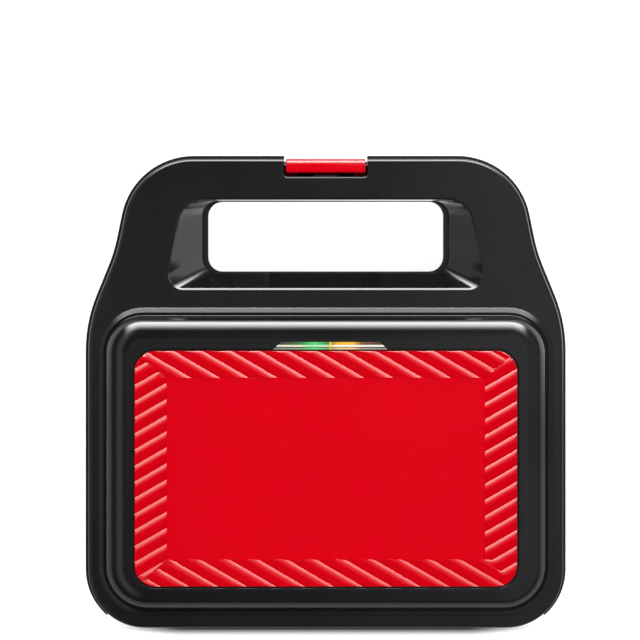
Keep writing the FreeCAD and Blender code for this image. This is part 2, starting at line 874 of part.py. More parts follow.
def make_frame_core():
    """The liner without its screw holes and knuckles, as the base has it."""
    sheet_part = slab("liner_sheet", housing, "base_top", "base_rim")
    ring = pillow("liner_ring", wide("ring_half + ring_wall"),
                  ("ring_front - ring_wall", "ring_back + ring_wall"), ("ring_low", "base_top + frame_lip"),
                  "ring_radius + ring_wall")
    pockets = both_sides("liner_pocket_wall", clip_pocket(
        "liner_pocket_wall", ("pocket_low - pocket_wall", "base_top + frame_lip"), "pocket_wall"))
    seat = pillow("plate_seat", wide("plate_half + plate_gap"),
                  ("plate_front - plate_gap", "plate_back + plate_gap"), ("ledge", "base_rim + overrun"),
                  "plate_radius + plate_gap")
    well = pillow("plate_well", wide("ring_half"), ("ring_front", "ring_back"),
                  ("ring_low - overrun", "base_rim + overrun"), "ring_radius")
    window = pillow("liner_window", wide("window_half - sill_side"),
                    ("window_front + sill_front", "window_back - sill_back"),
                    ("base_top - overrun", "base_rim + overrun"), "window_radius - sill_front")
    ear_notch = box("ear_notch", around("ear_x", "ear_half + fit_gap"),
                    ("ear_tip - fit_gap", "plate_front + overrun"), ("ledge", "base_rim + overrun"))
    prong_hole = rod("prong_hole", "y", "prong_radius + fit_gap", "ring_back - overrun",
                     "ring_back + ring_wall + overrun", "prong_x", "prong_z")
    return cut(
        "liner", join("liner_body", sheet_part, ring, *pockets), seat, well, window,
        notch_space("liner_notch", ("base_top - overrun", "base_rim + overrun")),
        relief_space("liner_relief", ("base_top - overrun", "base_rim + overrun")),
        *both_sides("ear_notch", ear_notch),
        *both_sides("liner_pocket", clip_pocket("liner_pocket", ("pocket_low", "base_rim + overrun"))),
        *both_sides("prong_hole", prong_hole),
    )


def knuckle(name, start, end, web, bore):
    """A hinge barrel on the axis, with the web that joins it to its frame, on the +X side."""
    barrel = rod(name + "_barrel", "x", "knuckle_radius", start, end, "hinge_y", "seam_mid")
    arm = box(name + "_web", (start, end), ("relief_front - overrun", "hinge_y"), web)
    hole = rod(name + "_bore", "x", bore, f"{start} - overrun", f"{end} + overrun", "hinge_y", "seam_mid")
    return cut(name, join(name + "_body", barrel, arm), hole)


def make_base_frame(core):
    """The lower liner: outer hinge knuckles, one conduit barrel and bosses for the screws from below."""
    web = "base_rim - web_height", "base_rim"
    bore = "hinge_pin_radius + pin_gap"
    knuckles = [
        *both_sides("knuckle_in", knuckle("knuckle_in", "knuckle_start", "knuckle_one", web, bore)),
        *both_sides("knuckle_out", knuckle("knuckle_out", "knuckle_four", "knuckle_end", web, bore)),
        knuckle("base_conduit", "conduit_start", "conduit_end", web, "conduit_bore"),
    ]
    bosses = rods("liner_boss", SCREW_SPOTS, "boss_radius", "boss_seam", "base_top + frame_lip")
    holes = rods("liner_screw_hole", SCREW_SPOTS, "screw_radius + pin_gap", "boss_seam - overrun",
                 "base_screw_tip + fit_gap")
    return cut("base_frame", join("base_frame_body", core, *knuckles, *bosses), *holes)


def make_lid_frame(core):
    """The upper liner: the middle hinge knuckles, the other conduit barrel and sinks for the screws."""
    upper = mirrored("lid_liner", core, "z", "seam_mid")
    web = "lid_rim", "lid_rim + web_height"
    bore = "hinge_pin_radius + pin_gap"
    conduit = mirrored("lid_conduit", knuckle("lid_conduit_source", "conduit_start", "conduit_end", web,
                                              "conduit_bore"), "x")
    knuckles = both_sides("lid_knuckle", knuckle("lid_knuckle", "knuckle_two", "knuckle_three", web, bore))
    holes = rods("lid_frame_hole", SCREW_SPOTS, "screw_radius + pin_gap", "lid_rim - overrun",
                 "cover_low + overrun")
    sinks = rods("lid_frame_sink", SCREW_SPOTS, "screw_head_radius + fit_gap", "lid_rim - overrun",
                 "lid_rim + screw_head")
    return cut("lid_frame", join("lid_frame_body", upper, conduit, *knuckles), *holes, *sinks)


# Cooking plates

def make_plate():
    """A cast sandwich plate: flange, pan, two wells split by diagonal ridges, rear prongs and front ears."""
    flange = pillow("plate_flange", wide("plate_half"), ("plate_front", "plate_back"),
                    ("ledge", "plate_high"), "plate_radius")
    flange = softened("plate_flange_soft", flange, "flange_thickness / 3", level("plate_high"))
    pan = pillow("plate_pan", wide("pan_half"), ("pan_front", "pan_back"),
                 ("pan_low", "plate_high - overrun"), "pan_radius")
    pan = softened("plate_pan_soft", pan, "pan_wall", level("pan_low"))
    top = raised(outline("well_top", four_corners(
        ("well_in", "well_out"), ("well_front", "well_back"), "well_radius")), "plate_high")
    bottom = raised(outline("well_bottom", four_corners(
        ("well_in + well_draft", "well_out - well_draft"),
        ("well_front + well_draft", "well_back - well_draft"), "well_radius")), "well_low")
    ridge = funnel("ridge", raised(ridge_outline("ridge_foot", "ridge_base"), "well_low - overrun"),
                   raised(ridge_outline("ridge_crest", "ridge_top"), "ridge_high"))
    well = cut("well", funnel("well_space", bottom, top), ridge)
    prong = join(
        "prong",
        rod("prong_bar", "y", "prong_radius", "pan_back - overrun", "plate_back + prong_length",
            "prong_x", "prong_z"),
        rod("prong_foot", "y", "prong_collar_radius", "pan_back - overrun", "pan_back + pan_gap / 2",
            "prong_x", "prong_z"))
    ear = box("ear", around("ear_x", "ear_half"), ("ear_tip", "plate_front + overrun"), ("ledge", "ear_high"))
    blank = join("plate_blank", flange, pan, *both_sides("prong", prong), *both_sides("ear", ear))
    return cut("lower_plate", blank, *both_sides("well", well))


def ridge_outline(name, thickness):
    """A strip along a well's diagonal, from its front outer corner to its rear inner corner."""
    slope = "sqrt(well_width ^ 2 + well_length ^ 2)"
    across = f"{thickness} / 2 * well_length / {slope}"
    along = f"{thickness} / 2 * well_width / {slope}"
    return outline(name, [
        (f"well_out - {across}", f"well_front - {along}", None),
        (f"well_out + {across}", f"well_front + {along}", None),
        (f"well_in + {across}", f"well_back + {along}", None),
        (f"well_in - {across}", f"well_back - {along}", None),
    ])


def make_element():
    """The tubular heater: one loop in a level plane, open at the back."""
    half, front, back, height = (value(word) for word in ("element_half", "element_front", "element_back",
                                                           "element_z"))
    gap = value("element_opening")
    points = [(gap, back, height), (half, back, height), (half, front, height), (-half, front, height),
              (-half, back, height), (-gap, back, height)]
    return tube("lower_element", value("element_radius"), points, value("element_bend"))


def make_saddles():
    """Four saddles on the tray floor that the heater lies in."""
    saddles = []
    for side, x in (("left", "element_half / 2"), ("right", "-element_half / 2")):
        for end in ("front", "back"):
            name = f"saddle_{end}_{side}"
            block = box(name + "_block", around(x, "saddle_width / 2"),
                        around(f"element_{end}", "saddle_half"), ("tray_floor", "element_z + saddle_lip"))
            channel = rod(name + "_channel", "x", "element_radius + pin_gap", f"{x} - saddle_width",
                          f"{x} + saddle_width", f"element_{end}", "element_z")
            saddles.append(cut(name, block, channel))
    return group("lower_element_clips", *saddles)


def make_tray():
    """The reflector: a thin open tray under the heater, with its rim against the well ring."""
    outside = pillow("tray_outside", wide("tray_half"), ("tray_front", "tray_back"), ("tray_low", "ring_low"),
                     "tray_radius")
    outside = softened("tray_outside_soft", outside, "tray_radius / 2", level("tray_low"))
    inside = pillow("tray_inside", wide("tray_half - tray_sheet"),
                    ("tray_front + tray_sheet", "tray_back - tray_sheet"),
                    ("tray_floor", "ring_low + overrun"), "tray_radius - tray_sheet")
    inside = softened("tray_inside_soft", inside, "tray_radius / 2 - tray_sheet", level("tray_floor"))
    return cut("lower_reflector", outside, inside)


# Release clips and their springs, on the +X side of the base

def make_clip():
    """A sliding clip: its nose holds a plate's ear down, its body guides it in the pocket."""
    x = around("ear_x", "clip_half")
    top = box("clip_top_plate", x, ("clip_front", "clip_nose"), ("clip_top_low", "base_rim"))
    body = box("clip_body", x, ("clip_body_front", "clip_back"), ("clip_low", "clip_top_low"))
    clip = join("clip_blank", top, body)
    grooves = []
    for number in range(3):
        y = f"clip_front + clip_ridge * {3 * number + 3}"
        grooves.append(box(f"clip_groove_{number}", around("ear_x", "clip_half - pocket_wall"),
                           around(y, "clip_ridge / 2"), ("base_rim - clip_ridge", "base_rim + overrun")))
    return cut("clip", clip, *grooves)


def make_clip_spring():
    """The clip's return spring, as the sleeve that its turns fill."""
    y = "pocket_front + fit_gap / 2", "clip_body_front - fit_gap / 2"
    sleeve = rod("clip_spring_outer", "y", "clip_spring_radius", *y, "ear_x", "clip_spring_z")
    bore = rod("clip_spring_bore", "y", "clip_spring_radius - clip_spring_wire", "pocket_front - overrun",
               "clip_back", "ear_x", "clip_spring_z")
    return cut("clip_spring", sleeve, bore)


# Lid

def make_lid_cover():
    """The lid housing: flange, raised bead, rounded dome with the panel's recess, and the upper handle."""
    skirt = slab("lid_skirt", shell_outline, "cover_low", "flange_high")
    skirt = softened("lid_skirt_soft", skirt, "edge_radius", level("flange_high"))
    bead_edge = outline("bead_edge", four_corners(
        wide("bead_half"), ("bead_front", "bead_back"), ("bead_front_radius", "bead_back_radius")))
    bead_top = outline("bead_top", four_corners(
        wide("bead_half - bead_width"), ("bead_front + bead_width", "bead_back - bead_width"),
        ("bead_front_radius - bead_width", "bead_back_radius - bead_width")))
    bead = funnel("bead_slope", raised(bead_edge, "bead_low"), raised(bead_top, "bead_high"))
    bead_base = pillow("bead_base", wide("bead_half"), ("bead_front", "bead_back"),
                       ("flange_high - wall / 2", "bead_low"), ("bead_front_radius", "bead_back_radius"))
    dome = pillow("dome", wide("dome_half"), ("dome_front", "dome_back"), ("flange_high - wall", "dome_high"),
                  ("dome_front_radius", "dome_back_radius"))
    dome = softened("dome_soft", dome, "dome_round", level("dome_high"))
    groove_in = pillow("groove_in", wide("dome_half"), ("dome_front", "dome_back"),
                       ("flange_high - wall", "bead_high + overrun"),
                       ("dome_front_radius", "dome_back_radius"))
    groove_out = pillow("groove_out", wide("dome_half + groove_width"),
                        ("dome_front - groove_width", "dome_back + groove_width"),
                        ("flange_high - groove_depth", "bead_high + overrun"),
                        ("dome_front_radius + groove_width", "dome_back_radius + groove_width"))
    outside = join("lid_outside", cut("lid_beaded", join("lid_flange", skirt, bead_base, bead),
                                      cut("bead_groove", groove_out, groove_in)), dome)
    low = "cover_low - overrun"
    skirt_space = slab("lid_skirt_space", cavity_outline, low, "flange_high - wall")
    dome_space = pillow("lid_dome_space", wide("dome_half - wall"), ("dome_front + wall", "dome_back - wall"),
                        (low, "dome_ceiling"), ("dome_front_radius - wall", "dome_back_radius - wall"))
    dome_space = softened("lid_dome_space_soft", dome_space, "dome_round - wall", level("dome_ceiling"))
    posts = [("board_post_half", "board_post_y"), ("-board_post_half", "board_post_y")]
    walls = [
        window_space("lid_window_wall", "flange_high", "lid_brim", "scoop_low", low, "wall"),
        notch_space("lid_notch_wall", (low, "flange_high"), "wall"),
        relief_space("lid_relief_wall", (low, "lid_relief_high + wall"), "wall"),
        *rods("lid_boss", SCREW_SPOTS, "boss_radius", "cover_low", "flange_high"),
        *rods("board_post", posts, "board_post", "board_high", "dome_ceiling + overrun"),
    ]
    space = cut("lid_space", join("lid_spaces", skirt_space, dome_space), *walls)
    openings = [
        space,
        window_space("lid_window", "flange_high", "lid_brim", "scoop_low", low),
        notch_space("lid_notch", (low, "flange_high + overrun")),
        funnel("lid_notch_chamfer", raised(notch_outline("notch_inner"), "flange_high - notch_brim"),
               raised(notch_outline("notch_outer", "notch_brim"), "flange_high")),
        relief_space("lid_relief", (low, "lid_relief_high")),
        pillow("panel_recess", wide("recess_half"), ("recess_front", "recess_back"),
               ("recess_low", "crest_high"), "panel_radius + panel_gap"),
        *rods("lid_screw_hole", SCREW_SPOTS, "screw_radius + pin_gap", low, "lid_screw_tip + fit_gap"),
        *rods("panel_pin_hole", PANEL_PIN_SPOTS, "panel_pin_radius + pin_gap", "dome_ceiling - overrun",
              "recess_low + overrun"),
        slab("lens_slot", lens_outline("lens_slot_outline", "fit_gap / 2"), "dome_ceiling - overrun",
             "dome_high + overrun"),
        rod("latch_pin_hole", "x", "latch_pin_radius + pin_gap", *wide("notch_half + wall - pin_gap"),
            "latch_pin_y", "latch_pin_z"),
    ]
    return cut("lid_cover", outside, *openings)


def lens_outline(name, grow="0"):
    """The indicator lens from above: a slim bar with pointed ends."""
    left = f"lens_shift - lens_half - ({grow})"
    right = f"lens_shift + lens_half + ({grow})"
    front = f"lens_y - lens_half_width - ({grow})"
    back = f"lens_y + lens_half_width + ({grow})"
    return outline(name, [
        (f"{left} + lens_point", front, None),
        (f"{right} - lens_point", front, None),
        (right, back, None),
        (left, back, None),
    ])


def rib_slab(name, pitch, sign):
    """A slab over the panel whose top is a row of slanted ribs, turned about the upright axis.

    Each rib steps up on its rear flank, is flat on top, and falls off in an arc towards the front.
    """
    step = value(pitch)
    turn = value("rib_turn") * sign
    rise = value("rib_rise")
    reach = math.hypot(value("panel_half"), value("panel_back - panel_front") / 2)
    count = 2 * math.ceil(reach / step)
    base = value("recess_low")
    valley = value("crest_high - rib_rise")
    left = -count * step / 2
    rear = value("rib_step_share") * step
    fall = (1 - value("rib_flat_share")) * step
    radius = (fall ** 2 + rise ** 2) / (2 * rise)
    turned = math.asin(fall / radius) / 2
    sag = radius * (1 - math.cos(turned))
    edges = []
    for number in range(count):
        start = left + number * step
        spots = [(start, valley), (start + rear, valley + rise), (start + step - fall, valley + rise),
                 (start + step - fall + radius * math.sin(turned), valley + rise - sag),
                 (start + step, valley)]
        points = [Vector(-sign * x, 0, z) for x, z in spots]
        edges.append(Part.LineSegment(points[0], points[1]).toShape())
        edges.append(Part.LineSegment(points[1], points[2]).toShape())
        edges.append(Part.Arc(*points[2:]).toShape())
    corners = [Vector(-sign * x, 0, z) for x, z in (
        (-left, valley), (-left, base), (left, base), (left, valley))]
    edges.extend(Part.LineSegment(a, b).toShape() for a, b in zip(corners, corners[1:]))
    face = Part.Face(Part.Wire(edges))
    face.translate(Vector(0, -reach, 0))
    item = doc.addObject("Part::Feature", name)
    item.Shape = face.extrude(Vector(0, 2 * reach, 0))
    item.Placement = Placement(Vector(0, value("panel_middle"), 0), Rotation(Vector(0, 0, 1), turn))
    return item


def make_panel():
    """The red panel: a flat field in a border of slanted ribs, mitred at the corners, with four pins."""
    out_half = "panel_half + overrun"
    out_front = "panel_front - overrun * rib_band_end / rib_band_side"
    out_back = "panel_back + overrun * rib_band_end / rib_band_side"
    front_band = outline("front_band", [
        (f"-({out_half})", out_front, None), (out_half, out_front, None),
        ("flat_half", "flat_front", None), ("-flat_half", "flat_front", None)])
    back_band = outline("back_band", [
        ("-flat_half", "flat_back", None), ("flat_half", "flat_back", None),
        (out_half, out_back, None), (f"-({out_half})", out_back, None)])
    side_band = outline("side_band", [
        ("flat_half", "flat_front", None), (out_half, out_front, None),
        (out_half, out_back, None), ("flat_half", "flat_back", None)])
    z = "recess_low", "crest_high + overrun"
    ends = join("end_bands", slab("front_band_block", front_band, *z), slab("back_band_block", back_band, *z))
    flanks = join("side_bands", *both_sides("side_band_block", slab("side_band_block", side_band, *z)))
    block = pillow("panel_block", wide("panel_half"), ("panel_front", "panel_back"),
                   ("recess_low", "panel_round_high"), "panel_radius")
    block = softened("panel_block_soft", block, "panel_edge_round", level("panel_round_high"))
    ribs_end = common("end_ribs", common("end_border", ends, block),
                      rib_slab("end_rib_slab", "end_rib_pitch", 1))
    ribs_side = common("side_ribs", common("side_border", flanks, block),
                       rib_slab("side_rib_slab", "side_rib_pitch", -1))
    field = pillow("panel_field", wide("flat_half + overrun"),
                   ("flat_front - overrun", "flat_back + overrun"), ("recess_low", "panel_flat"),
                   "inner_radius")
    pins = rods("panel_pin", PANEL_PIN_SPOTS, "panel_pin_radius", "recess_low - panel_pin_length",
                "recess_low + overrun / 2")
    return join("top_panel", ribs_end, ribs_side, field, *pins)


def make_lens():
    """The indicator lens, with a foot that is stuck under the dome's ceiling."""
    bar = slab("lens_bar", lens_outline("lens_bar_outline"), "dome_ceiling - lens_foot", "lens_high")
    foot = slab("lens_foot_plate", lens_outline("lens_foot_outline", "lens_foot"), "dome_ceiling - lens_foot",
                "dome_ceiling")
    return join("indicator_lens", bar, foot)


def make_board():
    """The small circuit board that carries the two indicator lamps."""
    return box("indicator_board", wide("board_half"), around("lens_y", "board_depth / 2"),
               ("board_low", "board_high"))


def make_led(name, x):
    """A lamp with a round head, standing on the board."""
    top = "board_high + led_height"
    body = rod(name + "_body", "z", "led_radius", "board_high", top, x, "lens_y")
    return softened(name, body, "led_radius / 2", level(top))


def make_washers():
    """Push-on washers that hold the panel's pins under the dome."""
    washers = []
    low = "dome_ceiling - washer_sheet"
    for number, (x, y) in enumerate(PANEL_PIN_SPOTS):
        disc = rod(f"washer_disc_{number}", "z", "washer_radius", low, "dome_ceiling", x, y)
        hole = rod(f"washer_hole_{number}", "z", "panel_pin_radius + pin_gap", low + " - overrun",
                   "dome_ceiling + overrun", x, y)
        washers.append(cut(f"washer_{number}", disc, hole))
    return group("panel_clips", *washers)


# Latch

def make_latch():
    """The latch: a rounded head on its pin, a plate down the front and a hook under the strike."""
    bevel = "hook_height / 2"
    body = side_profile("latch_body", [
        ("latch_front", "hook_low", "latch_round / 2"),
        (f"hook_back - {bevel}", "hook_low", None),
        ("hook_back", f"hook_low + {bevel}", None),
        ("hook_back", "hook_high", None),
        ("latch_plate_back", "hook_high", None),
        ("latch_plate_back", "latch_head_low", None),
        ("latch_head_back", "latch_head_low", None),
        ("latch_head_back", "latch_top", "latch_round / 2"),
        ("latch_front", "latch_top", "latch_round"),
    ], "latch_width / 2")
    hole = rod("latch_hole", "x", "latch_pin_radius + pin_gap", *wide("latch_width"), "latch_pin_y",
               "latch_pin_z")
    return cut("latch", body, hole)


def make_latch_pin():
    """The steel pin across the notch."""
    return rod("latch_pin", "x", "latch_pin_radius", *wide("notch_half + wall - pin_gap"), "latch_pin_y",
               "latch_pin_z")


def make_latch_spring():
    """A bent leaf between the notch's back wall and the latch's head."""
    low = "latch_head_low + fit_gap"
    high = "latch_top - fit_gap"
    middle = f"({low} + {high}) / 2"
    crown = "latch_head_back + fit_gap / 2"
    return side_profile("latch_spring", [
        ("notch_back - leaf_sheet", low, None),
        ("notch_back", low, None),
        (f"{crown} + leaf_sheet", middle, None),
        ("notch_back", high, None),
        ("notch_back - leaf_sheet", high, None),
        (crown, middle, None),
    ], "leaf_half")


def make_latch_catch():
    """The steel strike that the hook grips: a leaf riveted to the notch's back wall, with a lip."""
    leaf = side_profile("catch_leaf", [
        ("notch_back - catch_reach", "catch_low", None),
        ("notch_back", "catch_low", None),
        ("notch_back", "catch_high", None),
        ("notch_back - catch_sheet", "catch_high", None),
        ("notch_back - catch_sheet", "catch_low + catch_sheet", None),
        ("notch_back - catch_reach", "catch_low + catch_sheet", None),
    ], "catch_half")
    rivet = rod("rivet", "y", "rivet_radius", "notch_back - catch_sheet / 2", "notch_back + wall + fit_gap",
                "rivet_half_pitch", "catch_rivet_z")
    return join("latch_catch", leaf, *both_sides("rivet", rivet))


# Hinge

def make_hinge_pin():
    """The steel pin of the +X hinge."""
    return rod("hinge_pin_right", "x", "hinge_pin_radius", "pin_start", "pin_end", "hinge_y", "seam_mid")


def make_hinge_sleeve():
    """The flexible sleeve that carries the leads along the hinge axis from one half to the other."""
    half = "conduit_end - hinge_pin_inset"
    outer = rod("sleeve_outer", "x", "sleeve_radius", *wide(half), "hinge_y", "seam_mid")
    bore = rod("sleeve_bore_space", "x", "sleeve_bore", *wide(f"{half} + overrun"), "hinge_y", "seam_mid")
    return cut("hinge_sleeve", outer, bore)


# Screws, feet and what lies inside the base

def make_screws(name, spots, head_low, tip):
    """Screws that point up, each a head and a shank."""
    screws = []
    for number, (x, y) in enumerate(spots):
        seat = f"{head_low} + screw_head"
        head = rod(f"{name}_head_{number}", "z", "screw_head_radius", head_low, seat, x, y)
        shank = rod(f"{name}_shank_{number}", "z", "screw_radius", f"{seat} - screw_head / 2", tip, x, y)
        screws.append(join(f"{name}_{number}", head, shank))
    return group(name, *screws)


def make_foot(place):
    """A tapered rubber foot with a recess for its screw."""
    x, y = FOOT_SPOTS[place]
    name = "foot_" + place
    blank = rod(name + "_blank", "z", "foot_radius", "0", "foot_height", x, y, "foot_top_radius")
    recess = rod(name + "_recess", "z", "screw_head_radius + fit_gap", "-overrun", "foot_recess", x, y)
    hole = rod(name + "_hole", "z", "screw_radius + pin_gap", "-overrun", "foot_height + overrun", x, y)
    return cut(name, blank, recess, hole)


def make_thermostat():
    """The disc thermostat on the tray floor, with its two blade terminals."""
    top = "tray_floor + thermostat_height"
    can = rod("thermostat_can", "z", "thermostat_radius", "tray_floor", top, "0", "plate_middle")
    blade = box("thermostat_blade", ("thermostat_radius / 2", "thermostat_radius * 1.5"),
                around("plate_middle", "thermostat_radius / 4"),
                (f"{top} - tray_sheet * 2", f"{top} - tray_sheet"))
    return join("thermostat", can, *both_sides("thermostat_blade", blade))


def make_fuse():
    """The thermal fuse, a small cylinder on the tray floor."""
    return rod("thermal_fuse", "x", "fuse_radius", "fuse_offset", "fuse_offset + fuse_length",
               "plate_middle", "tray_floor + fuse_radius")


def make_terminal_block():
    """The block on the shelf that joins the mains leads, with three clamping wells."""
    body = box("block_body", around("block_x", "block_length / 2"), ("block_front", "block_back"),
               ("shelf", "block_high"))
    wells = []
    for number in (-1, 0, 1):
        wells.append(rod(f"block_well_{number + 1}", "z", "block_depth / 4", "block_high - block_height / 3",
                         "block_high + overrun", f"block_x + wire_pitch * {number}",
                         "block_front + block_depth / 2"))
    return cut("terminal_block", body, *wells)


def make_cord_gland():
    """The rubber grommet in the back wall, with its flange inside and a bore for the mains lead."""
    inner = "back_y - wall"
    place = "gland_x", "gland_height"
    sleeve = rod("gland_sleeve", "y", "gland_radius", f"{inner} - gland_flange_depth", "back_y", *place)
    flange = rod("gland_flange_disc", "y", "gland_flange", f"{inner} - gland_flange_depth", inner, *place)
    bore = rod("gland_bore", "y", "cord_bore", f"{inner} - gland_flange_depth - overrun",
               "back_y + overrun", *place)
    return cut("cord_gland", join("gland_body", sleeve, flange), bore)


def make_base_wiring():
    """Three leads from the terminal block, down behind the well and along the floor to the tray."""
    block, pitch, start, high, drop, low, end = (value(word) for word in (
        "block_x", "wire_pitch", "block_front", "wire_high", "wire_drop", "wire_low", "tray_low"))
    wires = []
    for number, under in ((-1, "element_back"), (0, "plate_middle"), (1, "element_back")):
        x = block + number * pitch
        reach = value(under)
        points = [(x, start, high), (x, drop, high), (x, drop, low), (x, reach, low), (x, reach, end)]
        wires.append(tube(f"base_wire_{number + 1}", value("wire_radius"), points, value("wire_bend")))
    return group("base_wiring", *wires)


def make_lid_wiring():
    """Two leads from the wall in front of the hinge, over the upper tray and down onto it."""
    pitch, start, low, tray, reach, back = (value(text) for text in (
        "wire_pitch", "relief_front - wall", "lid_relief_high", "seam_mid * 2 - tray_low", "element_back",
        "tray_back + wire_bend"))
    rise = tray + value("wire_bend")
    wires = []
    for number in (1, 2):
        x = -number * pitch
        points = [(x, start, low), (x, back, low), (x, back, rise), (x, reach, rise), (x, reach, tray)]
        bend = value("wire_bend / 2")
        wires.append(tube(f"lid_wire_{number}", value("wire_radius"), points, bend))
    return group("lid_wiring", *wires)


# The whole appliance

frame_core = make_frame_core()
plate = make_plate()
element = make_element()
saddles = make_saddles()
tray = make_tray()
clip_right = make_clip()
spring_right = make_clip_spring()
clip_left = mirrored("clip_left", clip_right, "x")
spring_left = mirrored("spring_left", spring_right, "x")
hinge_pin_right = make_hinge_pin()

PIECES = {
    "base_shell": make_base_shell(),
    "base_frame": make_base_frame(frame_core),
    "lower_plate": plate,
    "lower_element": element,
    "lower_element_clips": saddles,
    "lower_reflector": tray,
    "thermostat": make_thermostat(),
    "thermal_fuse": make_fuse(),
    "terminal_block": make_terminal_block(),
    "base_wiring": make_base_wiring(),
    "cord_gland": make_cord_gland(),
    "base_screws": make_screws("base_screws", SCREW_SPOTS, "shelf - screw_head", "base_screw_tip"),
    "foot_screws": make_screws("foot_screws", FOOT_SPOTS.values(), "foot_recess - screw_head",
                               "foot_screw_tip"),
    "lower_clip_right": clip_right,
    "lower_clip_left": clip_left,
    "lower_clip_spring_right": spring_right,
    "lower_clip_spring_left": spring_left,
    "latch_catch": make_latch_catch(),
    "hinge_pin_right": hinge_pin_right,
    "hinge_pin_left": mirrored("hinge_pin_left", hinge_pin_right, "x"),
    "hinge_sleeve": make_hinge_sleeve(),
    "lid_cover": make_lid_cover(),
    "lid_frame": make_lid_frame(frame_core),
    "top_panel": make_panel(),
    "panel_clips": make_washers(),
    "indicator_lens": make_lens(),
    "indicator_board": make_board(),
    "power_led": make_led("power_led", "lens_shift + led_half_pitch"),
    "ready_led": make_led("ready_led", "lens_shift - led_half_pitch"),
    "lid_wiring": make_lid_wiring(),
    "lid_screws": make_screws("lid_screws", SCREW_SPOTS, "lid_rim", "lid_screw_tip"),
    "latch": make_latch(),
    "latch_pin": make_latch_pin(),
    "latch_spring": make_latch_spring(),
}
for place in FOOT_SPOTS:
    PIECES["foot_" + place] = make_foot(place)
for word, item in {
    "plate": plate,
    "element": element,
    "element_clips": saddles,
    "reflector": tray,
    "clip_right": clip_right,
    "clip_left": clip_left,
    "clip_spring_right": spring_right,
    "clip_spring_left": spring_left,
}.items():
    name = "upper_" + word
    PIECES[name] = mirrored(name, item, "z", "seam_mid")

doc.recompute()
for item in doc.Objects:
    if "Invalid" in item.State or "Error" in item.State:
        raise RuntimeError(f"{item.Name} is {item.State}")
for name, item in PIECES.items():
    item.Label = name
    if item.Shape.isNull() or not item.Shape.isValid() or not item.Shape.Solids:
        raise RuntimeError(f"{name} has no sound shape")

os.makedirs("parts", exist_ok=True)
for name, item in PIECES.items():
    item.Shape.exportStep(f"parts/{name}.step")
    print(name, len(item.Shape.Solids), round(item.Shape.Volume))
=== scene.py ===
"""Sandwich maker: finishes, fine pieces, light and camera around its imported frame.

Metres, in the frame's own axes: +X to the right of a person at the handle, +Y from the handle to the
hinge, +Z up, with the feet on the plane z = 0.
"""
import json
import math

import bmesh
import bpy
import numpy as np
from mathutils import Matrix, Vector


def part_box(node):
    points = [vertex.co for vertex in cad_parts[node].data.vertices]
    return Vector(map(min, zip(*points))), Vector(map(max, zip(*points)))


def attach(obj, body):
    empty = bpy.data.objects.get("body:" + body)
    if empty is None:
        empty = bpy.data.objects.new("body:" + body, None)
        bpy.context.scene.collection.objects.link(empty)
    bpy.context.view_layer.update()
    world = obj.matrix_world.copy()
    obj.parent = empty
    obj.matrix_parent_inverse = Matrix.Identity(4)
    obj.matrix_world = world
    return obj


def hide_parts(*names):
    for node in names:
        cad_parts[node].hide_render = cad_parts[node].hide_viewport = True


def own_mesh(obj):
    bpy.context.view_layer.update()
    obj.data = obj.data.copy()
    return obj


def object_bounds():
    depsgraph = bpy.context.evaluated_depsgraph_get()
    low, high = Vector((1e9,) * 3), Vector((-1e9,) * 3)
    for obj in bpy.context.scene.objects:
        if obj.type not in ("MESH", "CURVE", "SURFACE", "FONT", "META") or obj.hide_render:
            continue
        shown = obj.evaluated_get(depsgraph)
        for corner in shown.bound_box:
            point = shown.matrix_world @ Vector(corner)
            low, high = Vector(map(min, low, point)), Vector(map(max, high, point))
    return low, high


bl_info = {
    "name": "Sandwich maker",
    "version": (1, 0, 0),
    "blender": (4, 5, 0),
    "location": "3D View > Sidebar > Sandwich maker",
    "description": "Dresses the sandwich maker's frame with finishes and fine pieces",
    "category": "Object",
}

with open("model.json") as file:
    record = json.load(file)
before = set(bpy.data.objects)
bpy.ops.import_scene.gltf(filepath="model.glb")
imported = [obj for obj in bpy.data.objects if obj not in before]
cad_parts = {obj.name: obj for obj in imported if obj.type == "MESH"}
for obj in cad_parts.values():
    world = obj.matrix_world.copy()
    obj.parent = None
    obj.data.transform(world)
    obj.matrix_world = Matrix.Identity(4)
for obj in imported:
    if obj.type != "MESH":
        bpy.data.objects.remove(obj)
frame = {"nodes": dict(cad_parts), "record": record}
CAD_BOX = [list(corner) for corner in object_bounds()]
MM = 0.001

# The photograph's view: the width that it covers at the lid, the place at its centre, the height of the lid's
# flange, how far the camera sees, and its sensor in millimetres
VIEW_WIDTH = 0.3341
VIEW_CENTRE = (0.0030, -0.03715)
LID_FLANGE = 0.071
VIEW_END = 50
SENSOR_WIDTH = 36

# All fine pieces: the angle beyond which a crease is sharp, and the gap within which points are joined
CREASE = math.radians(35)
WELD_GAP = 1e-6

# Latch: its plate's thickness, the sizes of its head and hook, and its roundings
LATCH_PLATE = 4 * MM
LATCH_HEAD_DEPTH = 7.4 * MM
LATCH_HEAD_HEIGHT = 10 * MM
LATCH_HOOK_HEIGHT = 3 * MM
LATCH_HOOK_BEVEL = 1.5 * MM
LATCH_BROW = 4 * MM
LATCH_EDGE = 0.7 * MM
LATCH_END = 0.6 * MM
LATCH_END_STEPS = 7

# Latch's leaf spring: its sheet, the power that shapes its bow, and the number of steps along it
LEAF_SHEET = 0.5 * MM
LEAF_BOW_POWER = 1.5
LEAF_STEPS = 25

